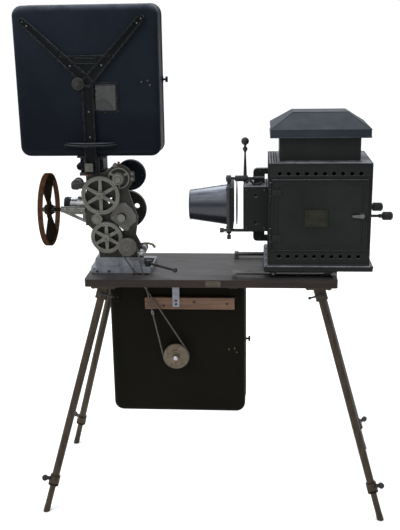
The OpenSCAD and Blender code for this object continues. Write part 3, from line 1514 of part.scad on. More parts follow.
// Light cone with its flange, the two rods it slides on, their clamp, end knob and thumb screw
module light_cone() {
    half = cond_wid / 2;
    lug_r = cone_rod_r + 5;
    rod_x1 = lamp_x0 - rod_gap - 1;
    low_rod = opt_z - cone_rod_dz;
    screw_x = (cone_flange_x0 + cone_flange_x1) / 2;
    color([0.5, 0.53, 0.56]) difference() {
        union() {
            translate([cone_x0, film_y, opt_z]) rotate([0, 90, 0])
                cylinder(h = cone_len, r1 = cone_r1, r2 = cone_r2);
            box([cone_flange_x0, film_y - half, opt_z - cond_h / 2],
                [cone_flange_x1, film_y + half, opt_z + cond_h / 2]);
            for (s = [-1, 1]) {
                edge = opt_z + s * (cond_h / 2 - 1);
                rod = opt_z + s * cone_rod_dz;
                bar_x([film_y, rod], lug_r, cone_flange_x0 - 3, cone_flange_x1 + 3);
                box([cone_flange_x0, film_y - lug_r, min(edge, rod)],
                    [cone_flange_x1, film_y + lug_r, max(edge, rod)]);
                bar_x([film_y, rod], cone_rod_r, cone_flange_x0 - 4, rod_x1);
            }
            bar_x([film_y, low_rod], cone_rod_r, cone_flange_x0 - 20, cone_flange_x0);
            bar_x([film_y, low_rod], cone_rod_r + 2.5, cone_flange_x0 - 22, cone_flange_x0 - 11);
            bar_z([screw_x, film_y], 3.5, low_rod - 20, low_rod);
            bar_z([screw_x, film_y], 6, low_rod - 26, low_rod - 15);
        }
        translate([cone_x0 - cut, film_y, opt_z]) rotate([0, 90, 0])
            cylinder(h = cone_len + 2 * cut, r1 = cone_r1 - cone_wall, r2 = cone_r2 - cone_wall);
        bar_x([film_y, opt_z], cone_r2 - cone_wall - 1, cone_flange_x0 - cut, cone_flange_x1 + cut);
    }
}

// Dowser: tapered lever with its balls, hub on the upper rod and the blade in the gap
module dowser() {
    pivot = opt_z + cone_rod_dz;
    hub_r = cone_rod_r + 4;
    hub_x1 = cond_x0 + 12;
    lever_x = cond_x0 + 4;
    ball_z = pivot + dowser_lever;
    neck_z = ball_z - dowser_ball_r - 13;
    blade_t = 2.5;
    color(worn_steel) difference() {
        union() {
            bar_x([film_y, pivot], hub_r, dowser_x - 5, hub_x1);
            bar_x([film_y, pivot], hub_r + 2.5, lever_x - 5, lever_x + 5);
            translate([lever_x, film_y, pivot]) cylinder(h = neck_z - pivot, r1 = 5.5, r2 = 2.2);
            translate([lever_x, film_y, ball_z]) sphere(r = dowser_ball_r);
            bar_z([lever_x, film_y], 3.5, neck_z - 7, ball_z);
            translate([lever_x, film_y, neck_z + 2]) sphere(r = 7);
            bar_x([film_y, opt_z], dowser_blade_r, dowser_x - blade_t / 2, dowser_x + blade_t / 2);
            box([dowser_x - blade_t / 2, film_y - 9, opt_z], [dowser_x + blade_t / 2, film_y + 9, pivot]);
        }
        bar_x([film_y, pivot], cone_rod_r + run_clear, dowser_x - 6, hub_x1 + cut);
    }
}

// Arc lamp inside the lamphouse: foot, post, rear block and two carbon holders
module arc_lamp() {
    foot_x = [lamp_x0 + 90, lamp_x1 - 40];
    post_x = lamp_x1 - 70;
    post_t = 22;
    arc_x = lamp_x0 + 96;
    carbon_r = 7;
    holder_r = 12;
    tilt = 28;
    color([0.32, 0.3, 0.28]) difference() {
        union() {
            box([foot_x[0], film_y - 32, lamp_z0], [foot_x[1], film_y + 32, lamp_z0 + 12]);
            box([post_x, film_y - 32, lamp_z0], [post_x + post_t, film_y + 14, opt_z + 20]);
            for (s = [-1, 1]) {
                translate([arc_x, film_y, opt_z]) rotate([0, s * tilt, 0]) {
                    translate([0, 0, s * 6 - (s < 0 ? 60 : 0)]) cylinder(h = 60, r = carbon_r);
                    translate([0, 0, s * 54 - (s < 0 ? 26 : 0)]) cylinder(h = 26, r = holder_r);
                }
                arm_z = opt_z + s * 67 * cos(tilt);
                bar_x([film_y, arm_z], 7, arc_x + 67 * sin(tilt), post_x + 8);
            }
            box([post_x, film_y - 14, opt_z - 67 * cos(tilt) - 8],
                [post_x + post_t, film_y + 14, opt_z + 67 * cos(tilt) + 8]);
        }
        for (c = [short_pos, long_pos])
            bar_x(c, control_rod_r + run_clear, post_x - cut, lamp_x1);
    }
}

// Control rod with its knob, through the lamphouse's rear wall
module control(c, rod) {
    x0 = lamp_x1 - 62;
    x1 = lamp_x1 + rod;
    color([0.12, 0.1, 0.1]) {
        bar_x(c, control_rod_r, x0, x1 + 2);
        bar_x(c, knob_r, x1, x1 + knob_len);
        bar_x(c, knob_r + 2, x1 + knob_len * 0.25, x1 + knob_len * 0.75);
    }
}

module short_control() {
    control(short_pos, short_rod);
}

module long_control() {
    control(long_pos, long_rod);
}

table_board();
upper_leg(-1, -1);  // upper_leg_front_left
upper_leg(1, -1);  // upper_leg_front_right
upper_leg(-1, 1);  // upper_leg_back_left
upper_leg(1, 1);  // upper_leg_back_right
lower_leg(-1, -1);  // lower_leg_front_left
lower_leg(1, -1);  // lower_leg_front_right
lower_leg(-1, 1);  // lower_leg_back_left
lower_leg(1, 1);  // lower_leg_back_right
leg_screw(-1, -1);  // leg_screw_front_left
leg_screw(1, -1);  // leg_screw_front_right
leg_screw(-1, 1);  // leg_screw_back_left
leg_screw(1, 1);  // leg_screw_back_right
lower_magazine_case();
lower_magazine_door();
takeup_pulley();
takeup_reel();
hanger_strap();
hanger_batten();
hanger_bolts();
upper_magazine_case();
upper_magazine_door();
magazine_window();
magazine_bracket();
supply_reel();
fire_trap();
head_base();
main_frame();
main_gear();
idler_gear();
lower_gear();
governor_wheel();
belt_pulley();
flywheel();
intermittent_sprocket();
gate_plate();
gate_door();
lens_barrel();
shutter_bracket();
shutter_wheel();
framing_lever();
guide_roller();
pad_roller();
film_guard();
takeup_belt();
front_rail();
back_rail();
lamphouse_base();
lamphouse_shell();
lamphouse_door();
lamp_door_handle();
chimney();
roof();
condenser_box();
condenser_lenses();
light_cone();
dowser();
arc_lamp();
short_control();
long_control();
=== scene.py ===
"""Dresses the film projector outfit: a finish for every solid, and the small fittings that ride on them."""
import json
import math

import bmesh
import bpy
from mathutils import Matrix, Vector

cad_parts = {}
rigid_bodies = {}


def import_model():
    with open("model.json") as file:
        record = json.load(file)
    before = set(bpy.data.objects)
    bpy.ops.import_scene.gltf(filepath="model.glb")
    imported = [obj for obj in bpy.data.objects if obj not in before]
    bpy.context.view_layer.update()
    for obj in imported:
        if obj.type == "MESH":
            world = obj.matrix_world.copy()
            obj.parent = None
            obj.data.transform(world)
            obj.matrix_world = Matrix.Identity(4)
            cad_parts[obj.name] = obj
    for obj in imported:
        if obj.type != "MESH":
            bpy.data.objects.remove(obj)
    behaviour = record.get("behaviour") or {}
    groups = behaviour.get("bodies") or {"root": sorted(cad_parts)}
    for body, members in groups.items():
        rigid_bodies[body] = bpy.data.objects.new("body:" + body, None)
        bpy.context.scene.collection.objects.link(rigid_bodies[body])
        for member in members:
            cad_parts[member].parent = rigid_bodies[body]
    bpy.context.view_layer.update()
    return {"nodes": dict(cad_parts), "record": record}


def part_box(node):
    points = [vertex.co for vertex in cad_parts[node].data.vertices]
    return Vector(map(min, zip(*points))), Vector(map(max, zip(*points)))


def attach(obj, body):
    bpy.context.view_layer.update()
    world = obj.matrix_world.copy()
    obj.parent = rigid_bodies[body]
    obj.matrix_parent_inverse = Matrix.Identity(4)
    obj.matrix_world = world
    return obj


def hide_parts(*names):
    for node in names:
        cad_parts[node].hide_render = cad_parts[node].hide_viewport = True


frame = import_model()
nodes = frame["nodes"]
scene = bpy.context.scene
MM = 0.001
FORWARD, BACKWARD, LEFT, RIGHT, UP, DOWN = (0, -1, 0), (0, 1, 0), (-1, 0, 0), (1, 0, 0), (0, 0, 1), (0, 0, -1)


# Places, from the solids themselves, in millimetres

def span(node):
    """Low and high corner of a solid at rest."""
    return [Vector(corner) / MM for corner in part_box(node)]


def middle(node):
    low, high = span(node)
    return (low + high) / 2


def on_front(origin, offsets):
    """Spots that face the camera side, at (x, z) offsets from a place."""
    x, y, z = origin
    return [((x + dx, y, z + dz), FORWARD) for dx, dz in offsets]


def round_places(centre, r, y, count, start=0.0):
    """Spots evenly round a circle that faces the camera side."""
    turns = [math.radians(start + 360 * k / count) for k in range(count)]
    return on_front((centre[0], y, centre[1]), [(r * math.cos(a), r * math.sin(a)) for a in turns])


def steps_between(start, end, step):
    """Even places from start to end, about a step apart."""
    count = round((end - start) / step)
    return [start + (end - start) * k / count for k in range(count + 1)]


BOARD_LOW, BOARD_HIGH = span("table_board")
BOARD_MID, BOARD_TOP = middle("table_board").x, BOARD_HIGH.z
CASE_LOW, CASE_HIGH = span("upper_magazine_case")
CONE_MOUTH, CONE_LENGTH, CONE_R, CONE_FLARE = span("light_cone")[0].x, 107, 42, 16
FILM_X = span("gate_plate")[1].x + 0.4


# Node trees

class Nodes:
    """A node tree that is built in script."""

    prefix = ""

    def __init__(self, tree):
        self.tree = tree

    def add(self, kind, inputs=None, **settings):
        """A node with its settings; its inputs are linked to outputs or hold plain values."""
        made = self.tree.nodes.new(self.prefix + kind)
        for key, value in settings.items():
            setattr(made, key, value)
        for key, value in (inputs or {}).items():
            self.put(made.inputs[key], value)
        return made

    def put(self, socket, value):
        """Links an output to a socket, or sets a plain value on it."""
        if isinstance(value, bpy.types.NodeSocket):
            self.tree.links.new(value, socket)
        elif isinstance(value, tuple) and socket.type == "RGBA":
            socket.default_value = (*value, 1)
        else:
            socket.default_value = value


# Camera, floor and light

CAMERA_PLACE = Vector((BOARD_MID + 143.4, -2401.3, 1402.4))
CAMERA_TURN, CAMERA_DIP, CAMERA_ROLL = (math.radians(a) for a in (4.3, 16.2, -0.9))
SENSOR, FOCAL_RATIO = 36, 850 / 530
FLOOR_RADIUS = 60


def aim_camera():
    """Puts the camera where the photograph was taken from."""
    across = math.cos(CAMERA_DIP)
    ahead = Vector((-math.sin(CAMERA_TURN) * across, math.cos(CAMERA_TURN) * across, -math.sin(CAMERA_DIP)))
    level = Vector((math.cos(CAMERA_TURN), math.sin(CAMERA_TURN), 0))
    rise = level.cross(ahead)
    right = math.cos(CAMERA_ROLL) * level + math.sin(CAMERA_ROLL) * rise
    up = math.cos(CAMERA_ROLL) * rise - math.sin(CAMERA_ROLL) * level
    data = bpy.data.cameras.new("camera")
    data.sensor_width = SENSOR
    data.lens = SENSOR * FOCAL_RATIO
    data.clip_end = 200
    camera = bpy.data.objects.new("camera", data)
    turned = Matrix((right, up, -ahead)).transposed().to_4x4()
    camera.matrix_world = Matrix.Translation(CAMERA_PLACE * MM) @ turned
    scene.collection.objects.link(camera)
    scene.camera = camera


def soft_light(name, place, target, size, watts, tint):
    data = bpy.data.lights.new(name, "AREA")
    data.shape = "RECTANGLE"
    data.size, data.size_y = size
    data.energy = watts
    data.color = tint
    lamp = bpy.data.objects.new(name, data)
    lamp.location = place
    lamp.rotation_euler = (Vector(target) - Vector(place)).to_track_quat("-Z", "Y").to_euler()
    scene.collection.objects.link(lamp)


def light_room():
    """A bright ceiling and dim walls, with a key from the left and a pane behind and above."""
    soft_light("window_left", (-2.6, -1.9, 3.0), (-0.1, 0, 0.8), (1.8, 1.8), 70, (1.0, 0.985, 0.96))
    soft_light("ceiling_back", (0.3, 2.2, 3.4), (0, 0.1, 0.8), (4.0, 2.0), 60, (0.93, 0.96, 1.0))
    world = bpy.data.worlds.new("room")
    scene.world = world
    world.use_nodes = True
    room = Nodes(world.node_tree)
    way = room.add("ShaderNodeTexCoord").outputs["Generated"]
    height = room.add("ShaderNodeSeparateXYZ", {0: way}).outputs["Z"]
    glow = room.tree.nodes["Background"]
    room.put(glow.inputs["Color"], (0.95, 0.975, 1.0))
    room.put(glow.inputs["Strength"],
             room.add("ShaderNodeMapRange", {0: height, 1: 0.0, 2: 0.6, 3: 0.2, 4: 1.42}).outputs[0])
    seen = room.add("ShaderNodeBackground", {"Color": (1, 1, 1)})
    by_camera = room.add("ShaderNodeLightPath").outputs["Is Camera Ray"]
    both = room.add("ShaderNodeMixShader", {
        "Fac": by_camera, 1: glow.outputs["Background"], 2: seen.outputs["Background"]})
    room.put(room.tree.nodes["World Output"].inputs["Surface"], both.outputs["Shader"])
    scene.view_settings.view_transform = "Standard"


def lay_floor():
    work = bmesh.new()
    bmesh.ops.create_circle(work, cap_ends=True, segments=64, radius=FLOOR_RADIUS)
    mesh = bpy.data.meshes.new("floor")
    work.to_mesh(mesh)
    work.free()
    floor = bpy.data.objects.new("floor", mesh)
    scene.collection.objects.link(floor)
    f = Finish("pale_floor", shine=0.05, Roughness=0.9)
    f.feed("Base Color", f.ramp(f.noise(1.5, 2), (0.3, (0.86, 0.86, 0.85)), (0.7, (0.88, 0.88, 0.87))))
    mesh.materials.append(f.mat)


# Finishes

class Finish(Nodes):
    """A material made of nodes: Object coordinates in, one Principled shader out."""

    prefix = "ShaderNode"

    def __init__(self, name, shine=0.5, **values):
        self.mat = bpy.data.materials.new(name)
        self.mat.use_nodes = True
        super().__init__(self.mat.node_tree)
        self.shader = self.tree.nodes["Principled BSDF"]
        self.feed("Specular IOR Level", shine)
        for key, value in values.items():
            self.feed(key, value)
        self.place = self.add("TexCoord").outputs["Object"]

    def feed(self, name, value):
        self.put(self.shader.inputs[name], value)

    def stretched(self, scale, shift=(0, 0, 0)):
        return self.add("Mapping", {"Vector": self.place, "Location": shift, "Scale": scale}).outputs["Vector"]

    def noise(self, scale, detail=3, rough=0.5, stretch=None, twist=0.0):
        return self.add("TexNoise", {
            "Vector": self.stretched(stretch) if stretch else self.place,
            "Scale": scale, "Detail": detail, "Roughness": rough, "Distortion": twist}).outputs["Fac"]

    def ramp(self, value, *stops):
        """Colours (or greys, for single numbers) at places along a value."""
        r = self.add("ValToRGB", {"Fac": value})
        bar = r.color_ramp.elements
        while len(bar) < len(stops):
            bar.new(0.5)
        for mark, (at, tone) in zip(bar, stops):
            mark.position = at
            mark.color = (*tone, 1) if isinstance(tone, tuple) else (tone, tone, tone, 1)
        return r.outputs["Color"]

    def mix(self, a, b, share):
        return self.add("Mix", {"Factor": share, 6: a, 7: b}, data_type="RGBA").outputs[2]

    def calc(self, how, a, b):
        return self.add("Math", {0: a, 1: b}, operation=how).outputs[0]

    def times(self, a, b):
        return self.calc("MULTIPLY", a, b)

    def plus(self, a, b):
        return self.calc("ADD", a, b)

    def remap(self, value, low, high, out_low=0.0, out_high=1.0):
        return self.add("MapRange", {0: value, 1: low, 2: high, 3: out_low, 4: out_high}).outputs[0]

    def along(self, vector, axis):
        """One coordinate of a vector."""
        return self.add("SeparateXYZ", {0: vector}).outputs[axis]

    def normal(self):
        return self.add("NewGeometry").outputs["Normal"]

    def rounded(self, width, samples=6):
        """The surface's normal with its sharp edges rounded off, by a width in millimetres."""
        return self.add("Bevel", {"Radius": width * MM}, samples=samples).outputs["Normal"]

    def edges(self, width):
        """Near 1 along sharp edges and 0 on flats."""
        dot = self.add("VectorMath", {0: self.rounded(width, 4), 1: self.normal()}, operation="DOT_PRODUCT")
        return self.remap(dot.outputs["Value"], 0.99, 0.8)

    def bump(self, height, depth, strength, soft=0.0):
        """Relief from a height; soft rounds the shading of sharp edges by that many millimetres."""
        inputs = {"Strength": strength, "Distance": depth * MM, "Height": height}
        if soft:
            inputs["Normal"] = self.rounded(soft)
        self.feed("Normal", self.add("Bump", inputs).outputs["Normal"])


def scaled(tone, by):
    """A colour made lighter or darker."""
    return tuple(min(1, c * by) for c in tone)


def japan(name, deep, light, worn, rough, dust_and_sheen, shine, wear=0.7, dust_and_sheen_tone=(0.2, 0.215, 0.245), soft=1.5, shade_below_heights=None):
    """Baked black japan on sheet iron: cloudy, faintly rippled, rubbed through along the edges, dusty and with a
    painted highlight where it faces up, and painted shade from one height down to another where these are given."""
    f = Finish(name, shine)
    cloud = f.noise(5, 5, 0.6, twist=0.4)
    speck = f.noise(160, 4, 0.6)
    tone = f.ramp(cloud, (0.3, deep), (0.72, light))
    # Painted shade: the tone grows darker from the upper height down to the lower one.
    if shade_below_heights:
        low, high = shade_below_heights
        tone = f.mix(tone, scaled(deep, 0.42), f.remap(f.along(f.place, "Z"), low * MM, high * MM, 0.75, 0.0))
    scuffs = f.ramp(f.noise(26, 6, 0.75, stretch=(1, 1, 3.2), twist=0.8), (0.62, 0.0), (0.74, 1.0))
    tone = f.mix(tone, scaled(light, 1.9), f.times(scuffs, 0.3))
    tone = f.mix(tone, worn, f.times(f.edges(2.0), f.ramp(speck, (0.42, 0.0), (0.6, wear))))
    # Painted highlight and dust: faces that turn up, with sharp edges rounded off by soft, take a pale tone.
    upward = f.remap(f.along(f.rounded(max(soft, 0.5)), "Z"), 0.15, 0.9)
    dust_and_sheen_mask = f.times(upward, f.ramp(f.noise(30, 5), (0.35, 0.45), (0.7, 1.0)))
    f.feed("Base Color", f.mix(tone, dust_and_sheen_tone, f.times(dust_and_sheen_mask, dust_and_sheen)))
    f.feed("Roughness", f.remap(f.plus(cloud, f.times(speck, 0.35)), 0.4, 0.95, rough - 0.08, rough + 0.14))
    f.bump(f.plus(f.noise(420, 2), f.times(f.noise(14, 2), 2.0)), 0.12, 0.35, soft)
    return f.mat


def cast_paint(name, deep, light, grime, rough, metal=0.0, bare=(0.36, 0.35, 0.33), shine=0.5):
    """Painted castings: a grain in the paint, oily grime in patches, bare iron along the edges."""
    f = Finish(name, shine, Metallic=metal)
    patch = f.noise(34, 5, 0.65, twist=0.5)
    grain = f.noise(650, 3, 0.6)
    tone = f.ramp(patch, (0.3, deep), (0.62, light))
    tone = f.mix(tone, grime, f.ramp(f.noise(75, 5, 0.7, twist=1.0), (0.5, 0.0), (0.74, 0.75)))
    tone = f.mix(tone, bare, f.times(f.edges(0.9), f.ramp(grain, (0.4, 0.1), (0.62, 0.75))))
    f.feed("Base Color", tone)
    f.feed("Roughness", f.remap(patch, 0.3, 0.7, rough - 0.1, rough + 0.12))
    f.bump(f.plus(grain, f.times(patch, 0.8)), 0.25, 0.4)
    return f.mat


def bare_metal(name, deep, light, stain, rough, stretch=(1, 1, 1), spots=0.6, metal=1.0):
    """Uncoated metal: drawn streaks, tarnish in spots, brighter along the edges."""
    f = Finish(name, Metallic=metal)
    streak = f.noise(90, 5, 0.6, stretch=stretch)
    spot = f.noise(120, 6, 0.7, twist=0.7)
    tone = f.ramp(streak, (0.3, deep), (0.7, light))
    tone = f.mix(tone, stain, f.ramp(spot, (0.55, 0.0), (0.72, spots)))
    f.feed("Base Color", f.mix(tone, scaled(light, 1.35), f.times(f.edges(0.7), 0.6)))
    f.feed("Roughness", f.remap(f.plus(streak, spot), 0.7, 1.3, rough - 0.07, rough + 0.16))
    f.bump(f.plus(streak, spot), 0.08, 0.3)
    return f.mat


def wood(name, deep, light, top, rough):
    """Long-grained board: pores and rings along its length, greyed where it faces up (worn finish and a painted
    sheen), rubbed at the edges.
    """
    f = Finish(name, shine=0.22)
    rings = f.noise(46, 6, 0.62, stretch=(0.12, 1, 1), twist=1.2)
    pores = f.noise(520, 3, 0.7, stretch=(0.042, 1, 1))
    tone = f.ramp(rings, (0.32, deep), (0.68, light))
    tone = f.mix(tone, scaled(deep, 0.4), f.ramp(pores, (0.56, 0.0), (0.7, 0.8)))
    worn = f.ramp(f.noise(9, 5, 0.65, stretch=(0.6, 1, 1), twist=0.8), (0.36, 0.25), (0.62, 1.0))
    # Worn finish and painted sheen: faces that turn up take the top tone in worn patches.
    up = f.times(f.remap(f.along(f.normal(), "Z"), 0.5, 0.95), worn)
    tone = f.mix(tone, f.mix(top, scaled(top, 0.62), pores), f.times(up, 0.8))
    f.feed("Base Color", f.mix(tone, scaled(light, 2.4), f.times(f.edges(2.2), 0.5)))
    f.feed("Roughness", f.remap(rings, 0.3, 0.7, rough - 0.06, rough + 0.12))
    f.bump(f.calc("SUBTRACT", f.times(rings, 0.6), pores), 0.3, 0.4)
    return f.mat


def leather(name, deep, light):
    f = Finish(name, Roughness=0.62)
    hide = f.noise(420, 4, 0.6)
    f.feed("Base Color", f.ramp(hide, (0.32, deep), (0.7, light)))
    f.bump(hide, 0.3, 0.5)
    return f.mat


def clear_glass(name, tint, rough, through, shine=0.5):
    f = Finish(name, shine, Roughness=rough, IOR=1.5)
    smear = f.noise(40, 4, 0.6, stretch=(1, 1, 2))
    f.feed("Base Color", f.ramp(smear, (0.35, scaled(tint, 0.8)), (0.65, tint)))
    f.feed("Transmission Weight", through)
    f.bump(smear, 0.05, 0.2)
    return f.mat


def cone_finish():
    """Blued sheet on the cone with streaks along it, black on the square flange and its rods."""
    f = Finish("cone_sheet", shine=0.7, Metallic=0.35)
    streak = f.noise(70, 5, 0.6, stretch=(0.12, 1, 1))
    spot = f.noise(110, 6, 0.7, twist=0.7)
    sheet = f.ramp(streak, (0.3, (0.0085, 0.0098, 0.0135)), (0.7, (0.024, 0.0265, 0.036)))
    sheet = f.mix(sheet, (0.011, 0.011, 0.013), f.ramp(spot, (0.55, 0.0), (0.72, 0.6)))
    sheet = f.mix(sheet, (0.13, 0.145, 0.175), f.times(f.edges(1.4), 0.6))
    # Painted highlight, partly dust: the sheet's up-facing side takes a pale blue tone in streaks.
    upward = f.times(f.remap(f.along(f.normal(), "Z"), 0.25, 0.9), f.ramp(streak, (0.32, 0.35), (0.62, 1.0)))
    sheet = f.mix(sheet, (0.19, 0.21, 0.26), f.times(upward, 0.75))
    black = f.ramp(spot, (0.35, (0.006, 0.0058, 0.0056)), (0.7, (0.017, 0.0165, 0.016)))
    flange = CONE_MOUTH + CONE_LENGTH - 0.4
    join = f.remap(f.along(f.place, "X"), flange * MM, (flange + 0.4) * MM)
    f.feed("Base Color", f.mix(sheet, black, join))
    f.feed("Roughness", f.remap(f.plus(streak, f.times(join, 0.8)), 0.3, 1.1, 0.17, 0.4))
    f.bump(f.plus(streak, spot), 0.12, 0.3)
    return f.mat


def shutter_finish():
    """Oxide brown on the rim hoop, sooty brown on the wings and hub; the join lies at the hoop's inner face."""
    f = Finish("shutter_paint", shine=0.0)
    hub, hoop, hoop_thick, blend = middle("shutter_wheel"), span("shutter_wheel")[1].z, 5.2, 0.3
    turned = f.stretched((0, 1, 1), (0, -hub.y * MM, -hub.z * MM))
    reach = f.add("VectorMath", {0: turned}, operation="LENGTH").outputs["Value"]
    patch = f.noise(60, 5, 0.65, twist=0.6)
    oxide = f.ramp(patch, (0.3, (0.022, 0.0105, 0.0058)), (0.68, (0.062, 0.031, 0.0175)))
    sooty = f.ramp(patch, (0.3, (0.007, 0.0052, 0.0036)), (0.7, (0.021, 0.0145, 0.0095)))
    rim = hoop - hub.z - hoop_thick
    tone = f.mix(sooty, oxide, f.remap(reach, (rim - blend) * MM, (rim + blend) * MM))
    tone = f.mix(tone, (0.19, 0.13, 0.09), f.times(f.edges(1.0), f.ramp(patch, (0.42, 0.0), (0.68, 0.7))))
    f.feed("Base Color", tone)
    f.feed("Roughness", f.remap(patch, 0.3, 0.7, 0.5, 0.7))
    f.bump(f.noise(500, 2), 0.1, 0.3)
    return f.mat


# Painted highlight: a pale blue tone on the wide rounded top edge; painted shade: the case grows darker towards its
# bottom.
MAGAZINE = japan("magazine_japan", (0.0064, 0.0084, 0.0128), (0.0122, 0.0156, 0.0228), (0.11, 0.11, 0.105),
                 0.42, dust_and_sheen=0.42, shine=0.03, dust_and_sheen_tone=(0.21, 0.24, 0.3), soft=15.0,
                 shade_below_heights=(CASE_LOW.z + 10, CASE_HIGH.z - 20))
# Painted shade: a darker, warmer copy of the magazine japan for the lower magazine, which sits in the board's
# shade.
MAGAZINE_SHADED = japan("lower_magazine_japan", (0.0036, 0.0032, 0.0019), (0.0062, 0.0056, 0.0034),
                     (0.06, 0.052, 0.035), 0.5, dust_and_sheen=0.3, shine=0.04, soft=6.0)
BRACKET = japan("bracket_japan", (0.002, 0.0027, 0.003), (0.0045, 0.0058, 0.0066), (0.1, 0.105, 0.115),
                0.36, dust_and_sheen=0.5, shine=0.07)
LAMP_BLACK = ((0.0102, 0.0108, 0.0107), (0.0178, 0.0187, 0.0185), (0.085, 0.08, 0.07))
# Painted reflection: the strong pale tone on the lamphouse's up-facing faces is dust with a painted reflection of
# the ceiling.
LAMPHOUSE = japan("lamphouse_japan", *LAMP_BLACK, 0.5, dust_and_sheen=0.95, shine=0.05, dust_and_sheen_tone=(0.27, 0.272, 0.31))
LAMP_TRIM = japan("lamphouse_trim", *LAMP_BLACK, 0.5, dust_and_sheen=0.16, shine=0.05, wear=0.3, soft=0.6)
HOOD = japan("hood_japan", (0.0115, 0.0155, 0.0215), (0.0215, 0.027, 0.036), (0.12, 0.125, 0.13),
             0.44, dust_and_sheen=0.12, shine=0.1)
CONE = cone_finish()
FRAME = cast_paint("frame_paint", (0.008, 0.0075, 0.0065), (0.021, 0.0195, 0.0165), (0.005, 0.0045, 0.0035),
                   0.5, bare=(0.2, 0.19, 0.17), shine=0.25)
COVER = cast_paint("cover_paint", (0.038, 0.0355, 0.03), (0.07, 0.066, 0.057), (0.02, 0.017, 0.013), 0.5)
FLYWHEEL = cast_paint("flywheel_paint", (0.006, 0.006, 0.005), (0.015, 0.0145, 0.012), (0.004, 0.003, 0.002),
                      0.46, bare=(0.16, 0.15, 0.12), shine=0.2)
BASE = cast_paint("base_paint", (0.085, 0.094, 0.107), (0.175, 0.187, 0.208), (0.018, 0.02, 0.025), 0.4)
GEAR = cast_paint("gear_paint", (0.066, 0.065, 0.054), (0.114, 0.112, 0.095), (0.02, 0.018, 0.014),
                  0.44, 0.15, (0.34, 0.33, 0.3))
NICKEL = bare_metal("nickel_plate", (0.27, 0.275, 0.285), (0.43, 0.435, 0.445), (0.1, 0.095, 0.09), 0.26)
STEEL = bare_metal("bright_steel", (0.22, 0.22, 0.235), (0.38, 0.38, 0.4), (0.07, 0.062, 0.05), 0.38)
ARM = bare_metal("arm_steel", (0.075, 0.072, 0.066), (0.19, 0.185, 0.172), (0.028, 0.024, 0.018), 0.4)
RAIL = bare_metal("rail_steel", (0.075, 0.075, 0.073), (0.2, 0.197, 0.19), (0.016, 0.014, 0.011),
                  0.3, (0.1, 1, 1), metal=0.9)
OIL_RED = cast_paint("oil_cap_red", (0.1, 0.012, 0.011), (0.2, 0.028, 0.022), (0.03, 0.01, 0.008),
                     0.45, bare=(0.22, 0.16, 0.13))
PALE_STEEL = bare_metal("strap_steel", (0.165, 0.165, 0.195), (0.265, 0.265, 0.305), (0.085, 0.08, 0.08),
                        0.5, metal=0.5)
WORN = bare_metal("browned_steel", (0.085, 0.068, 0.05), (0.18, 0.146, 0.11), (0.04, 0.029, 0.019), 0.46)
BLUED = bare_metal("blued_steel", (0.012, 0.012, 0.012), (0.035, 0.034, 0.032), (0.055, 0.042, 0.03),
                   0.4, spots=0.5, metal=0.7)
PULLEY = cast_paint("pulley_iron", (0.03, 0.027, 0.0225), (0.06, 0.055, 0.0465), (0.018, 0.015, 0.011), 0.5, 0.3)
LEG = bare_metal("leg_tube", (0.021, 0.0145, 0.009), (0.056, 0.041, 0.028), (0.012, 0.008, 0.005),
                 0.42, (1, 1, 0.2), metal=0.7)
# The grey top tone of the stained board is a painted sheen of the bright room over its worn finish.
DARK_WOOD = wood("stained_board", (0.0075, 0.0043, 0.0036), (0.0225, 0.0125, 0.01), (0.055, 0.054, 0.057), 0.42)
RED_WOOD = wood("batten_wood", (0.088, 0.047, 0.03), (0.172, 0.1, 0.068), (0.17, 0.1, 0.07), 0.62)
LEATHER = leather("belt_hide", (0.03, 0.027, 0.022), (0.075, 0.068, 0.058))
IRON = cast_paint("lamp_iron", (0.04, 0.036, 0.032), (0.09, 0.08, 0.07), (0.012, 0.01, 0.008), 0.6, 0.5)
KNOB = japan("knob_ebonite", (0.006, 0.0055, 0.0055), (0.012, 0.011, 0.011), (0.06, 0.045, 0.032),
             0.36, dust_and_sheen=0.15, shine=0.2, soft=0.6)
EDGE_PLATE = cast_paint("edge_plate", (0.04, 0.034, 0.026), (0.075, 0.065, 0.05), (0.018, 0.014, 0.01),
                        0.55, 0.3, (0.12, 0.105, 0.08), 0.2)
PLATE = cast_paint("plain_plate", (0.0135, 0.0131, 0.0098), (0.0235, 0.0228, 0.0172), (0.0105, 0.0095, 0.007),
                   0.6, bare=(0.045, 0.042, 0.032), shine=0.06)
PANE = clear_glass("window_pane", (0.34, 0.34, 0.315), 0.05, 1.0, 0.15)
LENS = clear_glass("lens_glass", (0.86, 0.92, 0.95), 0.03, 0.95)
SHUTTER = shutter_finish()

BY_SLOT = {
    "dark_wood": DARK_WOOD, "red_wood": RED_WOOD, "leg_steel": LEG, "bright_steel": STEEL,
    "black_enamel": MAGAZINE, "window_glass": PANE, "lens_glass": LENS, "reel_steel": STEEL,
    "frame_enamel": FRAME, "gear_iron": GEAR, "worn_steel": WORN, "nickel": NICKEL,
    "shutter_paint": SHUTTER, "belt_leather": LEATHER, "cone_zinc": CONE, "lamp_iron": IRON,
    "knob_black": KNOB,
}
BY_NODE = {node: finish for finish, group in (
    (LAMPHOUSE, "lamphouse_shell lamphouse_door lamphouse_base chimney condenser_box"),
    (HOOD, "roof"),
    (RAIL, "front_rail back_rail lamp_door_handle"),
    (MAGAZINE_SHADED, "lower_magazine_case lower_magazine_door"),
    (BRACKET, "magazine_bracket"),
    (PALE_STEEL, "hanger_strap"),
    (BASE, "head_base"),
    (FLYWHEEL, "flywheel"),
    (PULLEY, "belt_pulley pad_roller"),
    (ARM, "shutter_bracket"),
    (BLUED, "framing_lever dowser hanger_bolts"),
    (BLUED, "leg_screw_front_left leg_screw_front_right leg_screw_back_left leg_screw_back_right"),
) for node in group.split()}


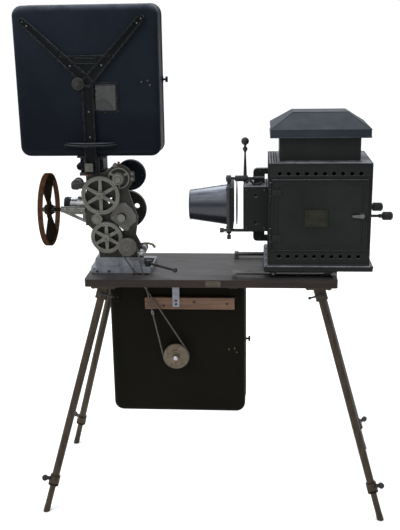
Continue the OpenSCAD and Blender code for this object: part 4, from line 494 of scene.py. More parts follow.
def dress_solids():
    """Gives every solid its finish, by node where one is named and else by the record's slot."""
    named = {row["node"]: row["material_slot"] for row in frame["record"]["subparts"]}
    for node, solid in nodes.items():
        finish = BY_NODE.get(node) or BY_SLOT[named[node]]
        solid.data.materials.clear()
        solid.data.materials.append(finish)


# Shapes, in millimetres

def around(w, h, corner, steps=6):
    """Outline of a rectangle with round corners, about the origin."""
    spots = []
    for quarter, (sx, sy) in enumerate(((1, 1), (-1, 1), (-1, -1), (1, -1))):
        for k in range(steps + 1):
            a = math.radians(90 * (quarter + k / steps))
            spots.append((sx * (w / 2 - corner) + corner * math.cos(a),
                          sy * (h / 2 - corner) + corner * math.sin(a)))
    return spots


def disc(r, steps=28):
    return [(r * math.cos(math.tau * k / steps), r * math.sin(math.tau * k / steps)) for k in range(steps)]


class Fitting:
    """Gathers turned, bent and flat shapes into one mesh."""

    def __init__(self):
        self.work = bmesh.new()

    def spot(self, place):
        return self.work.verts.new(Vector(place) * MM)

    def skin(self, rows, closed=False):
        """Joins rows of corners with faces; a row of one corner is a point."""
        pairs = list(zip(rows, rows[1:])) + ([(rows[-1], rows[0])] if closed else [])
        for low, high in pairs:
            for k in range(max(len(low), len(high))):
                ring = (low[k % len(low)], low[(k + 1) % len(low)],
                        high[(k + 1) % len(high)], high[k % len(high)])
                ring = list(dict.fromkeys(ring))
                if len(ring) > 2:
                    self.work.faces.new(ring)
        if not closed:
            for end in (rows[0], rows[-1]):
                if len(end) > 2:
                    self.work.faces.new(end)

    def turned(self, base, axis, profile, steps=28, closed=False):
        """A turned shape from (distance along the axis, radius) pairs."""
        lie = Vector(axis).to_track_quat("Z", "Y").to_matrix()
        rows = []
        for along, r in profile:
            marks = disc(r, steps) if r > 0 else [(0, 0)]
            rows.append([self.spot(Vector(base) + lie @ Vector((x, y, along))) for x, y in marks])
        self.skin(rows, closed)
        return self

    def ball(self, centre, r):
        arc = [(-r * math.cos(math.pi * k / 10), r * math.sin(math.pi * k / 10)) for k in range(11)]
        arc[0], arc[-1] = (-r, 0), (r, 0)
        return self.turned(centre, UP, arc, 18)

    def tube(self, path, r, steps=10, closed=False, taper=None):
        """A round bar along a path, from one radius to another where a taper is given."""
        path = [Vector(p) for p in path]
        rows, side = [], None
        for k, p in enumerate(path):
            before = path[k - 1] if k or closed else p
            after = path[(k + 1) % len(path)] if k + 1 < len(path) or closed else p
            way = (after - before).normalized()
            side = way.orthogonal() if side is None else side - way * side.dot(way)
            side.normalize()
            over = way.cross(side)
            size = r if taper is None else r + (taper - r) * k / (len(path) - 1)
            rows.append([self.spot(p + size * (x * side + y * over)) for x, y in disc(1, steps)])
        self.skin(rows, closed)
        return self

    def bead(self, loop, r):
        """A round wire along a closed loop."""
        return self.tube(loop, r, 8, True)

    def seam(self, start, end, r):
        """A straight fold of sheet."""
        return self.tube([start, end], r, 8)

    def plate(self, outline, origin, u, v, lift, hole=None, edge=0.0):
        """A flat plate: its outline along u and v, raised by the lift; a hole has as many corners."""
        origin, u, v, lift = (Vector(a) for a in (origin, u, v, lift))
        fresh = set(self.work.edges)

        def row(marks, up):
            return [self.spot(origin + u * x + v * y + lift * up) for x, y in marks]

        if hole:
            self.skin([row(outline, 0), row(outline, 1), row(hole, 1), row(hole, 0)], closed=True)
        else:
            self.skin([row(outline, 0), row(outline, 1)])
        if edge:
            self.soften(fresh, edge)
        return self

    def panel(self, outline, origin, thick, hole=None, edge=0.0):
        """A plate that faces the camera side."""
        return self.plate(outline, origin, RIGHT, UP, (0, -thick, 0), hole, edge)

    def block(self, low, high, edge):
        """A box with its edges taken off."""
        (x0, y0, z0), (x1, y1, z1) = low, high
        outline = [(x0, y0), (x1, y0), (x1, y1), (x0, y1)]
        return self.plate(outline, (0, 0, z0), RIGHT, BACKWARD, (0, 0, z1 - z0), edge=edge)

    def soften(self, old_edges, size):
        sharp = [e for e in self.work.edges if e not in old_edges and len(e.link_faces) == 2
                 and e.calc_face_angle(0) > 0.9]
        bmesh.ops.bevel(self.work, geom=sharp, offset=size * MM, segments=2, profile=0.6, affect="EDGES")

    def mesh(self, name):
        bmesh.ops.recalc_face_normals(self.work, faces=self.work.faces)
        for face in self.work.faces:
            face.smooth = True
        for e in self.work.edges:
            if len(e.link_faces) == 2 and e.calc_face_angle(0) > math.radians(36):
                e.smooth = False
        mesh = bpy.data.meshes.new(name)
        self.work.to_mesh(mesh)
        self.work.free()
        return mesh

    def fit(self, name, finish, slot, body="stand"):
        mesh = self.mesh(name)
        mesh.materials.append(finish)
        return fitted(name, mesh, body)


def fitted(name, mesh, body="stand"):
    """Puts a finished mesh in the scene, on its body."""
    piece = bpy.data.objects.new(name, mesh)
    scene.collection.objects.link(piece)
    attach(piece, body)
    return piece


# Repeated shapes, by Geometry Nodes

class Tree(Nodes):
    """A Geometry Nodes tree with named inputs."""

    def __init__(self, name, *inputs):
        super().__init__(bpy.data.node_groups.new(name, "GeometryNodeTree"))
        face = self.tree.interface
        self.ids = {}
        for label, kind in inputs + (("Finish", "Material"),):
            socket = face.new_socket(label, in_out="INPUT", socket_type="NodeSocket" + kind)
            self.ids[label] = socket.identifier
        face.new_socket("Mesh", in_out="OUTPUT", socket_type="NodeSocketGeometry")
        self.entry = self.add("NodeGroupInput")
        self.exit = self.add("NodeGroupOutput")

    def given(self, label):
        return self.entry.outputs[label]

    def close(self, geometry):
        """Ends in real mesh with the given finish."""
        real = self.add("GeometryNodeRealizeInstances", {"Geometry": geometry})
        coat = self.add("GeometryNodeSetMaterial", {
            "Geometry": real.outputs["Geometry"], "Material": self.given("Finish")})
        self.put(self.exit.inputs["Mesh"], coat.outputs["Geometry"])
        return self

    def grow(self, name, mesh, values):
        """Runs the tree on a mesh and gives the result back as a plain mesh."""
        carrier = bpy.data.objects.new(name + "_source", mesh)
        scene.collection.objects.link(carrier)
        step = carrier.modifiers.new("grow", "NODES")
        step.node_group = self.tree
        for label, value in values.items():
            step[self.ids[label]] = value
        shaped = carrier.evaluated_get(bpy.context.evaluated_depsgraph_get())
        made = bpy.data.meshes.new_from_object(shaped)
        carrier.modifiers.remove(step)
        bpy.data.objects.remove(carrier)
        made.name = name
        return made


def tree_of_heads():
    """Screw, rivet and nut heads on points, each facing its own way and turned at random about it."""
    t = Tree("heads_on_points", ("Points", "Geometry"), ("Head", "Object"), ("Size", "Float"), ("Turn Seed", "Int"))
    head = t.add("GeometryNodeObjectInfo", {"Object": t.given("Head")})
    way = t.add("GeometryNodeInputNamedAttribute", {"Name": "facing"}, data_type="FLOAT_VECTOR")
    lay = t.add("FunctionNodeAlignRotationToVector", {"Vector": way.outputs["Attribute"]}, axis="Z")
    roll = t.add("FunctionNodeRandomValue", {3: math.tau, "Seed": t.given("Turn Seed")}, data_type="FLOAT")
    spin = t.add("FunctionNodeAxisAngleToRotation", {"Axis": UP, "Angle": roll.outputs[1]})
    both = t.add("FunctionNodeRotateRotation", {
        "Rotation": lay.outputs["Rotation"], "Rotate By": spin.outputs["Rotation"]}, rotation_space="LOCAL")
    put = t.add("GeometryNodeInstanceOnPoints", {
        "Points": t.given("Points"), "Instance": head.outputs["Geometry"],
        "Rotation": both.outputs["Rotation"], "Scale": t.given("Size")})
    return t.close(put.outputs["Instances"])


def tree_of_rings():
    """Teeth or ridges evenly round a circle, which is then laid on its axis."""
    t = Tree("shapes_round_ring", ("Start", "Geometry"), ("Shape", "Object"), ("Count", "Int"),
             ("Ring Radius", "Float"), ("Place", "Vector"), ("Lie", "Rotation"))
    shape = t.add("GeometryNodeObjectInfo", {"Object": t.given("Shape")})
    circle = t.add("GeometryNodeMeshCircle", {"Vertices": t.given("Count"), "Radius": t.given("Ring Radius")})
    spot = t.add("GeometryNodeInputPosition").outputs["Position"]
    out = t.add("FunctionNodeAlignRotationToVector", {"Vector": spot}, axis="X", pivot_axis="Z")
    put = t.add("GeometryNodeInstanceOnPoints", {
        "Points": circle.outputs["Mesh"], "Instance": shape.outputs["Geometry"],
        "Rotation": out.outputs["Rotation"]})
    move = t.add("GeometryNodeTransform", {
        "Geometry": put.outputs["Instances"], "Translation": t.given("Place"), "Rotation": t.given("Lie")})
    return t.close(move.outputs["Geometry"])


def tree_of_belt():
    """A round belt along a closed line, with the strands of its twist."""
    points, strand, depth = 12, 4, 0.8
    t = Tree("belt_along_line", ("Line", "Geometry"), ("Belt Radius", "Float"), ("Twist", "Float"))
    curve = t.add("GeometryNodeMeshToCurve", {"Mesh": t.given("Line")})
    along = t.add("GeometryNodeSplineParameter").outputs["Length"]
    turns = t.add("ShaderNodeMath", {0: along, 1: t.given("Twist")}, operation="MULTIPLY")
    tilt = t.add("GeometryNodeSetCurveTilt", {"Curve": curve.outputs["Curve"], "Tilt": turns.outputs[0]})
    circle = t.add("GeometryNodeCurvePrimitiveCircle", {"Resolution": points, "Radius": t.given("Belt Radius")})
    index = t.add("GeometryNodeInputIndex").outputs["Index"]
    lobe = t.add("ShaderNodeMath", {0: index, 1: strand}, operation="MODULO").outputs[0]
    low = t.add("ShaderNodeMath", {0: lobe, 1: 0, 2: 0.1}, operation="COMPARE")
    spot = t.add("GeometryNodeInputPosition").outputs["Position"]
    inward = t.add("ShaderNodeVectorMath", {0: spot, "Scale": depth}, operation="SCALE")
    dent = t.add("GeometryNodeSetPosition", {
        "Geometry": circle.outputs["Curve"], "Selection": low.outputs[0], "Position": inward.outputs[0]})
    sweep = t.add("GeometryNodeCurveToMesh", {
        "Curve": tilt.outputs["Curve"], "Profile Curve": dent.outputs["Geometry"]})
    return t.close(sweep.outputs["Mesh"])


HEADS, RINGS, BELT = tree_of_heads(), tree_of_rings(), tree_of_belt()


def pattern(name, shape):
    """An object to be repeated; it leaves the scene at the end."""
    made = bpy.data.objects.new(name, shape.mesh(name))
    scene.collection.objects.link(made)
    return made


def slotted_screw():
    """Cheese head with a cut slot, one millimetre in radius."""
    half_slot, top = 0.14, 0.84
    f = Fitting().turned((0, 0, -0.1), UP, [(0, 1), (0.42, 1)], 18)
    half = [(math.cos(a), math.sin(a)) for a in (math.radians(8 + 164 * k / 9) for k in range(10))]
    for s in (1, -1):
        low = [(x, s * max(y, half_slot)) for x, y in half]
        high = [(top * x, s * max(top * y, half_slot)) for x, y in half]
        f.skin([[f.spot((x, y, z)) for x, y in row] for row, z in ((low, 0.32), (low, 0.55), (high, 0.72))])
    return pattern("slotted_screw", f)


def round_rivet():
    f = Fitting().turned((0, 0, -0.1), UP, [(0, 1), (0.15, 1), (0.42, 0.86), (0.62, 0.55), (0.7, 0)], 14)
    return pattern("round_rivet", f)


def hex_nut():
    """Washer, six-sided nut and the end of its stud."""
    f = Fitting()
    f.turned((0, 0, -0.1), UP, [(0, 1.3), (0.22, 1.3), (0.28, 1.2)], 20)
    f.turned((0, 0, 0.1), UP, [(0, 1), (0.62, 1), (0.74, 0.86)], 6)
    f.turned((0, 0, 0.7), UP, [(0, 0.52), (0.3, 0.52), (0.42, 0.4), (0.46, 0)], 14)
    return pattern("hex_nut", f)


def film_tooth():
    """Sprocket tooth, pointing outward along X."""
    f = Fitting()
    f.skin([[f.spot((x, s * w, z * d)) for s, z in ((-1, -1), (1, -1), (1, 1), (-1, 1))]
            for x, w, d in ((-0.3, 1.0, 0.75), (0.7, 0.9, 0.7), (1.5, 0.45, 0.5))])
    return pattern("film_tooth", f)


def grip_ridge(length):
    """Half-round ridge along the ring's axis, for a knob's grip."""
    end = length / 2
    f = Fitting().tube([(0, 0, z) for z in (-end, -end + 0.8, end - 0.8, end)], 1.1, 8)
    return pattern("grip_ridge", f)


SCREW, RIVET, NUT, TOOTH = slotted_screw(), round_rivet(), hex_nut(), film_tooth()
KNOB_RIDGE, FINE_RIDGE = grip_ridge(24), grip_ridge(6)
turn_seed = iter(range(3, 900, 7))


def heads(name, head, size, spots, finish, body="stand"):
    """One head on each (place, facing) spot."""
    mesh = bpy.data.meshes.new(name + "_points")
    mesh.from_pydata([Vector(place) * MM for place, facing in spots], [], [])
    way = mesh.attributes.new("facing", "FLOAT_VECTOR", "POINT")
    for mark, (place, facing) in zip(way.data, spots):
        mark.vector = facing
    grown = HEADS.grow(name, mesh, {"Head": head, "Size": size, "Turn Seed": next(turn_seed), "Finish": finish})
    return fitted(name, grown, body)


def ring_of(name, shape, count, radius, place, axis, finish, body="stand"):
    """A ring of one shape about an axis."""
    lie = Vector(axis).to_track_quat("Z", "Y").to_euler()
    grown = RINGS.grow(name, bpy.data.meshes.new(name + "_start"), {
        "Shape": shape, "Count": count, "Ring Radius": radius * MM, "Place": Vector(place) * MM, "Lie": lie,
        "Finish": finish})
    return fitted(name, grown, body)


# Table and legs

LEG_ASIDE, LEG_BACK, LEG_RUN = 303, 112, (188, 100, -678)
LEG_TOPS = [(BOARD_MID + sx * LEG_ASIDE, sy * LEG_BACK, sx, sy) for sx in (-1, 1) for sy in (-1, 1)]


def board_fittings():
    """Plain plate on the board's front edge, screws of the leg sockets and the levers that clamp the legs."""
    x, y, z, thick = BOARD_MID + 9, BOARD_LOW.y, (BOARD_LOW.z + BOARD_HIGH.z) / 2, 1.2
    plate = Fitting().panel(around(43, 17, 2), (x, y, z), thick, edge=0.4)
    plate.fit("board_edge_plate", EDGE_PLATE, "worn_steel")
    heads("edge_plate_screws", SCREW, 2.0, on_front((x, y - thick, z), ((-17, 0), (17, 0))), WORN)
    socket = [((x + dx, y + dy, BOARD_LOW.z - 6), DOWN)
              for x, y, sx, sy in LEG_TOPS for dx in (-29, 29) for dy in (-19, 19)]
    heads("socket_screws", SCREW, 3.4, socket, BLUED)
    levers = Fitting()
    for x, y, sx, sy in LEG_TOPS:
        hub = Vector((x + sx * 6, y + sy * 19, BOARD_LOW.z - 24))
        levers.turned(hub, (0, sy, 0), [(0, 7), (6, 7), (8, 5.5), (9, 0)], 20)
        tip = hub + Vector((-sx * 31, sy * 9, -5))
        levers.tube([hub + Vector((0, sy * 5, 0)), hub + Vector((-sx * 14, sy * 6, -1)), tip], 3.6, taper=2.4)
        levers.ball(tip, 4.4)
    levers.fit("socket_levers", BLUED, "leg_steel")


def leg_rings():
    """Turned grip rings on the leg collars, and a rolled bead at each collar's mouth."""
    rings = Fitting()
    for x, y, sx, sy in LEG_TOPS:
        way = Vector((sx * LEG_RUN[0], sy * LEG_RUN[1], LEG_RUN[2])).normalized()
        top = Vector((x, y, BOARD_LOW.z))
        for along, r in ((610, 15.6), (617, 15.6), (624, 15.6), (42, 17.6)):
            rings.turned(top + way * along, way, [(-1.4, r - 1), (-0.7, r), (0.7, r), (1.4, r - 1)], 32)
    rings.fit("leg_collar_rings", LEG, "leg_steel")


# Magazines

MAG_W, MAG_H, MAG_CORNER = 398, CASE_HIGH.z - CASE_LOW.z, 28
UPPER = (CASE_HIGH.x - MAG_W / 2, middle("upper_magazine_case").z)
LOWER = (span("lower_magazine_case")[1].x - MAG_W / 2, span("lower_magazine_case")[0].z + MAG_H / 2)
MAG_FRONT, CASE_BACK, DOOR_BACK = CASE_LOW.y, 28.6, span("upper_magazine_door")[1].y
WEB_FRONT = MAG_FRONT - 5
LATCH = ((MAG_W / 2 - 48, 0), (MAG_W / 2 - 31, 3), (MAG_W / 2 - 25, -9))


def magazine_beads(name, centre, door, finish):
    """Wired edges where case and door meet, the door's pressed panel, rivets of the hinges and the latch."""
    cx, cz = centre

    def loop(shrink, corner, y):
        return [(cx + x, y, cz + z) for x, z in around(MAG_W - shrink, MAG_H - shrink, corner)]

    case = Fitting().bead(loop(-0.6, MAG_CORNER, CASE_BACK - 2), 1.5)
    case.fit(name + "_case_bead", finish, "black_enamel")
    lid = Fitting().bead(loop(-0.6, MAG_CORNER, CASE_BACK + 2.4), 1.4)
    lid.bead(loop(86, 20, DOOR_BACK - 0.8), 2.4)
    lid.bead(loop(104, 14, DOOR_BACK - 0.8), 1.6)
    lid.fit(name + "_door_beads", finish, "black_enamel", door)
    hinge = [((cx - MAG_W / 2, y, cz + s * MAG_H / 4 + dz), LEFT)
             for s in (-1, 1) for dz in (-14, 0, 14) for y in (4, 14)]
    heads(name + "_hinge_rivets", RIVET, 2.4, hinge, BLUED)
    heads(name + "_latch_rivets", RIVET, 2.3, on_front((cx, MAG_FRONT, cz), LATCH), WORN)


def upper_magazine_fittings():
    """Window sash, screws and bare bars of the bracket, spindle nut and the clamp block on the stem."""
    pane, thick = middle("magazine_window"), 2.2
    wide, high = pane.x + 0.5, pane.z
    sash = Fitting().panel(around(80, 84, 4), (wide, MAG_FRONT, high), thick, around(66, 68, 2), 0.5)
    sash.panel(around(70, 72, 3), (wide, MAG_FRONT - thick, high), 1.2, around(65, 67, 2), 0.4)
    sash.fit("window_sash", BRACKET, "black_enamel")
    corners = ((37, 38), (37, 0), (37, -38), (0, 38.5), (0, -38.5))
    heads("sash_screws", SCREW, 1.9, on_front((wide, MAG_FRONT - thick, high), corners), BLUED)
    reel = middle("supply_reel")
    fork = Vector((FILM_X + 12, WEB_FRONT, reel.z + 4))
    tips = [Vector((UPPER[0] + s * MAG_W / 2 + dx, WEB_FRONT, UPPER[1] + MAG_H / 2 - dz))
            for s, dx, dz in ((-1, 32, 42), (1, -44, 38))]
    spots = [fork + s * (tip - fork) for tip in tips for s in (0.27, 0.93, 1.0)]
    spots += [fork + Vector((0, 0, dz)) for dz in (18, -80, -150)]
    heads("bracket_screws", SCREW, 2.5, [(p, FORWARD) for p in spots], RAIL)
    bars = Fitting().panel(around(60, 10, 1.5), (UPPER[0] - 1, WEB_FRONT, UPPER[1] + 59.5), 1.0, edge=0.3)
    bars.panel(around(58, 3, 1.2), (UPPER[0] - 1, WEB_FRONT, UPPER[1] + 50), 2.0, edge=0.5)
    bars.fit("bracket_bare_plate", BRACKET, "black_enamel")
    nut = Fitting().turned((reel.x, WEB_FRONT - 12, reel.z), FORWARD, [
        (0, 11), (2.5, 11), (3.5, 10), (3.5, 6.5), (9, 6.5), (11, 4.5), (11.6, 0)])
    nut.turned((reel.x, WEB_FRONT - 8, reel.z), FORWARD, [(-1, 16.8), (1.6, 16.8), (2.8, 15.4), (2.8, 12)])
    nut.fit("supply_spindle_nut", FRAME, "worn_steel")
    x, front, z = FILM_X + 7.1, WEB_FRONT - 15, BOARD_TOP + 306
    block = Fitting().block((x - 10.5, front, z - 11), (x + 10.5, front + 10, z + 11), 1.2)
    block.turned((x, front, z), FORWARD, [(0, 4.5), (2, 4.5), (2.8, 3.6), (2.8, 0)], 18)
    block.fit("stem_clamp_block", COVER, "frame_enamel")


def lower_magazine_fittings():
    """Screws of batten and strap, rivets of hangers and bearing, nut cap and face rings of the take-up pulley."""
    low = span("hanger_batten")[0]
    heads("batten_screws", SCREW, 3.3, on_front(low, ((13, 17), (55, 10), (143, 22), (239, 17))), BLUED)
    strap = (middle("hanger_strap").x, low.y - 3.1, low.z)
    heads("strap_screws", SCREW, 3.2, on_front(strap, ((0, 16), (0, 27))), BLUED)
    ears, ear_z = [LOWER[0] - MAG_W / 2 + 20, LOWER[0] + MAG_W / 2 - 34], BOARD_TOP - 78
    rivets = [((x + dx, MAG_FRONT - 4, ear_z), FORWARD) for x in ears for dx in (-5, 5)]
    heads("hanger_rivets", RIVET, 2.6, rivets, BLUED)
    hub, front = middle("takeup_pulley"), span("takeup_pulley")[0].y
    bearing = round_places((hub.x, hub.z), 30, MAG_FRONT, 4, 45)
    heads("bearing_rivets", RIVET, 2.4, bearing, BLUED)
    cap = Fitting().turned((hub.x, front, hub.z), FORWARD, [(0, 6.6), (2, 6.6), (3.6, 5.4), (4.4, 3.4), (4.6, 0)])
    cap.fit("takeup_nut_cap", NICKEL, "nickel", "takeup")
    rings = Fitting()
    for r in (24.5, 29, 33.5):
        rings.turned((hub.x, front + 10, hub.z), FORWARD, [
            (-0.4, r + 1.1), (0.5, r + 0.5), (0.5, r - 0.5), (-0.4, r - 1.1)], 48)
    rings.fit("takeup_face_rings", WORN, "worn_steel", "takeup")


def takeup_belt():
    """The round hide belt, crossed between head and take-up pulleys, with its wire staple."""
    head, take, belt_y = middle("belt_pulley").xz, middle("takeup_pulley").xz, middle("takeup_belt").y
    r_head, r_take, r_belt, aside, twist = 25, 37, 2.5, 4.0, 260.0
    reach = take - head
    axis, wrap = math.atan2(reach.y, reach.x), math.acos((r_head + r_take) / reach.length)

    def on(c, r, a):
        return Vector((c.x + r * math.cos(a), belt_y, c.y + r * math.sin(a)))

    def arc(c, r, start, sweep, steps=40):
        return [on(c, r, start + sweep * k / steps) for k in range(steps)]

    def run(p, q, side, steps=60):
        return [p + (q - p) * (k / steps) + Vector((0, side * aside * math.sin(math.pi * k / steps), 0))
                for k in range(steps)]

    whole = math.tau - 2 * wrap
    over, under = arc(head, r_head, axis + wrap, whole), arc(take, r_take, axis + math.pi - wrap, -whole)
    down = run(on(head, r_head, axis - wrap), under[0], 1)
    back = run(on(take, r_take, axis + math.pi + wrap), over[0], -1)
    line = over + down + under + back
    mesh = bpy.data.meshes.new("belt_line")
    mesh.from_pydata([p * MM for p in line], [(k, (k + 1) % len(line)) for k in range(len(line))], [])
    grown = BELT.grow("takeup_belt_hide", mesh, {"Belt Radius": r_belt * MM, "Twist": twist, "Finish": LEATHER})
    grown.shade_smooth()
    belt = fitted("takeup_belt_hide", grown)
    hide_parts("takeup_belt")
    a, b = back[24], back[26]
    along = (b - a).normalized()
    staple = Fitting()
    for lift in (-1, 1):
        out = along.cross(Vector(BACKWARD)) * 2.6 * lift
        staple.tube([a - along * 2, a + out, b + out, b + along * 2], 0.6, 6)
    staple.fit("belt_staple", STEEL, "bright_steel")


# Head

MAIN, IDLER, LOW, GOVERNOR, BELT_WHEEL, FLY, STEP, ROLLER = (tuple(middle(node).xz) for node in (
    "main_gear", "idler_gear", "lower_gear", "governor_wheel", "belt_pulley", "flywheel",
    "intermittent_sprocket", "guide_roller"))
PLATE_FRONT, SHAFT_FRONT = -57, span("main_gear")[0].y
BASE_WALL, BASE_FLANGE, BASE_FOOT = -61, BOARD_TOP + 11, BOARD_TOP + 5.5


def gear_hubs():
    """Hub faces of the gears with the dimple of each shaft's centre, their screws and pins, the flywheel's nut."""
    dish = [(0, 9.6), (2.6, 9.6), (3.4, 8.8), (3.4, 5.2), (1.0, 4.4), (1.0, 0)]
    small = [(0, 7), (1.4, 7), (1.8, 6.4), (1.8, 3.4), (0.6, 3), (0.6, 0)]
    grooved = [(0, 14), (2.0, 14), (2.6, 13.4), (2.6, 11), (0.8, 10.4), (0.8, 8), (3.6, 7.6), (3.6, 4.4),
               (1.8, 3.8), (1.8, 0)]
    boss = [(0, 11.5), (2.4, 11.5), (3.4, 10.4), (3.4, 0)]
    for name, c, front, profile, body in (
            ("main_gear_hub", MAIN, SHAFT_FRONT, dish, "main_gear"),
            ("lower_gear_hub", LOW, SHAFT_FRONT, dish, "lower_gear"),
            ("idler_hub", IDLER, SHAFT_FRONT, small, "idler_gear"),
            ("governor_hub", GOVERNOR, SHAFT_FRONT, grooved, "governor_wheel"),
            ("flywheel_boss", FLY, span("flywheel")[0].y, boss, "flywheel")):
        Fitting().turned((c[0], front, c[1]), FORWARD, profile, 36).fit(name, GEAR, "gear_iron", body)
    face = Fitting().turned((BELT_WHEEL[0], span("belt_pulley")[0].y, BELT_WHEEL[1]), FORWARD, [
        (0, 24), (0.7, 23.4), (0.7, 9), (2.2, 8.4), (2.2, 4), (1.2, 3.4), (1.2, 0)], 44)
    face.fit("belt_wheel_face", PULLEY, "worn_steel", "belt_pulley")
    groove = round_places(GOVERNOR, 9.2, SHAFT_FRONT - 0.8, 3, 30)
    heads("governor_screws", SCREW, 1.1, groove, BLUED, "governor_wheel")
    pins = round_places(MAIN, 13.5, SHAFT_FRONT + 2, 2, 60)
    heads("main_gear_pins", RIVET, 1.8, pins, BLUED, "main_gear")
    back = span("flywheel")[1].y
    nut = Fitting().turned((FLY[0], back, FLY[1]), BACKWARD, [
        (-1, 15), (3, 15), (4, 14), (4, 9), (11, 9), (12, 8)], 6)
    nut.turned((FLY[0], back + 8.5, FLY[1]), BACKWARD, [(0, 5), (5, 5), (6, 4), (6, 0)], 18)
    nut.fit("flywheel_nut", BLUED, "gear_iron", "flywheel")


def film_teeth():
    """Two rows of teeth on each sprocket, at the film's hole pitch."""
    for name, c, r, count, body in (("feed", MAIN, 24, 32, "main_gear"), ("hold_back", LOW, 20, 26, "lower_gear"),
                                    ("step", STEP, 12, 16, "intermittent_sprocket")):
        for row, y in (("near", -20.5), ("far", 10.5)):
            ring_of("%s_teeth_%s" % (name, row), TOOTH, count, r, (c[0], y, c[1]), BACKWARD, STEEL,
                    body)


def frame_fittings():
    """Screws, step case cover, bosses, lug, guide knob and finger, oil cups and plugs of the head's main plate,
    screws of the film neck and rivets of the film guard."""
    x, y, z = FILM_X, PLATE_FRONT, BOARD_TOP
    spots = ((-0.4, 272), (127, 290), (63.6, 152), (40, 49), (83.6, 205), (71.6, 58))
    heads("plate_screws", SCREW, 3.2, on_front((x, y, z), spots), BLUED)
    outline = [(-32, 5), (-11.5, 40), (11.5, 42.7), (30, 24), (41, 5), (41, -10.7), (19, -29), (16.6, -37),
               (6.4, -40), (-1.3, -32), (-14, -21), (-32, -5)]
    bore_r, thick, foot = 13.5, 4.5, (FLY[0] + 11, FLY[1] - 30)
    bore = [(bore_r * math.cos(a), bore_r * math.sin(a)) for a in (math.atan2(v, u) for u, v in outline)]
    cover = Fitting().panel(outline, (FLY[0], y, FLY[1]), thick, bore, 1.0)
    cover.turned((foot[0], y, foot[1]), FORWARD, [(-1, 9.4), (6, 9.4), (7, 8.4), (7, 0)])
    cover.fit("step_case_cover", COVER, "frame_enamel")
    spots = on_front((FLY[0], y - thick, FLY[1]), ((1, 35), (34, -2), (-25, 0)))
    spots.append(((foot[0], y - 7, foot[1]), FORWARD))
    heads("cover_screws", SCREW, 3.0, spots, GEAR)
    boss = Fitting().turned((x + 77.6, y, z + 310), FORWARD, [(-4, 6), (7, 6), (8, 5), (8, 0)])
    boss.tube([(x + 77.6, y + 2, z + 310), (x + 83.6, y + 3, z + 304), (x + 90.6, y + 3, z + 300)], 4.2)
    boss.fit("plate_bosses", COVER, "frame_enamel")
    lug_x, lug_thick = GOVERNOR[0] + 38, 3.5
    lug = Fitting().panel(around(13, 30, 5), (lug_x, y, GOVERNOR[1] + 6), lug_thick, edge=0.8)
    lug.fit("guard_lug", FRAME, "frame_enamel")
    nuts = on_front((lug_x, y - lug_thick, GOVERNOR[1]), ((0, -2), (0, 13)))
    heads("lug_nuts", NUT, 3.4, nuts, COVER)
    knob_z = ROLLER[1] + 4
    knob = Fitting().turned((ROLLER[0], y + 1, knob_z), FORWARD, [
        (0, 6), (4, 6), (4.5, 9), (6, 9.6), (15, 9.6), (16.5, 8.6), (17.5, 6), (18, 0)], 32)
    knob.fit("guide_stud_knob", NICKEL, "nickel")
    ring_of("guide_knob_grip", FINE_RIDGE, 30, 9.4, (ROLLER[0], y - 9.5, knob_z), BACKWARD, NICKEL)
    path = [(x + dx, y + dy, z + dz) for dx, dy, dz in (
        (141.6, 4, 81), (153.6, 3, 83), (165.6, 2, 83), (176.6, 1, 80), (181.6, 0, 74))]
    Fitting().tube(path, 2.6, taper=4.0).ball(path[-1], 4.2).fit("guide_finger", WORN, "worn_steel")
    cups = Fitting()
    for cx, dz in ((MAIN[0], 242.5), (GOVERNOR[0], 309), (LOW[0], 120)):
        cups.turned((cx, y + 4, z + dz), UP, [
            (0, 2.4), (3, 2.4), (3.4, 3.8), (8.5, 3.8), (9.2, 3.2), (10.4, 1.8), (10.8, 0)], 18)
    cups.fit("oil_cups", OIL_RED, "worn_steel")
    heads("oil_plugs", RIVET, 3.2, on_front((x, y, z), ((-1, 280), (8, 283))), OIL_RED)
    trap = span("fire_trap")[0]
    corners = [(dx, dz) for dx in (-18.4, 38.6) for dz in (8, 38)]
    heads("trap_screws", SCREW, 2.4, on_front((x, trap.y, trap.z), corners), BLUED)
    guard = middle("film_guard")
    rim = round_places((guard.x, guard.z), 36, span("film_guard")[0].y, 8)
    heads("guard_rivets", RIVET, 2.2, rim, BLUED)


def base_fittings():
    """Rib, panel and pad of the base casting, its bolts, plugs and screw."""
    x, z, pad_z, pad_thick = FILM_X, BOARD_TOP, BOARD_TOP + 24, 5
    base = Fitting().block((x + 82.1, BASE_WALL - 1.4, z + 12), (x + 85.1, BASE_WALL + 0.6, z + 42), 0.5)
    base.panel(around(70, 26, 3), (x + 43.6, BASE_WALL, z + 27), 1.6, around(62, 18, 2), 0.5)
    base.panel(around(32, 22, 3), (x + 126.6, BASE_WALL, pad_z), pad_thick, edge=0.9)
    base.fit("base_ribs", BASE, "frame_enamel")
    bolts = [((x + dx, y, BASE_FLANGE), UP)
             for y, row in ((-71, (9.6, 51.6, 97.6)), (43, (9.6, 93.6, 167.6))) for dx in row]
    heads("base_bolts", NUT, 3.6, bolts, BLUED)
    plugs = on_front((x, span("head_base")[0].y, BASE_FOOT), ((16, 0), (51, 0)))
    heads("base_plugs", SCREW, 3.2, plugs, BLUED)
    on_pad = [((x + 120.6, BASE_WALL - pad_thick, pad_z), FORWARD)]
    heads("base_screw", SCREW, 3.6, on_pad, STEEL)


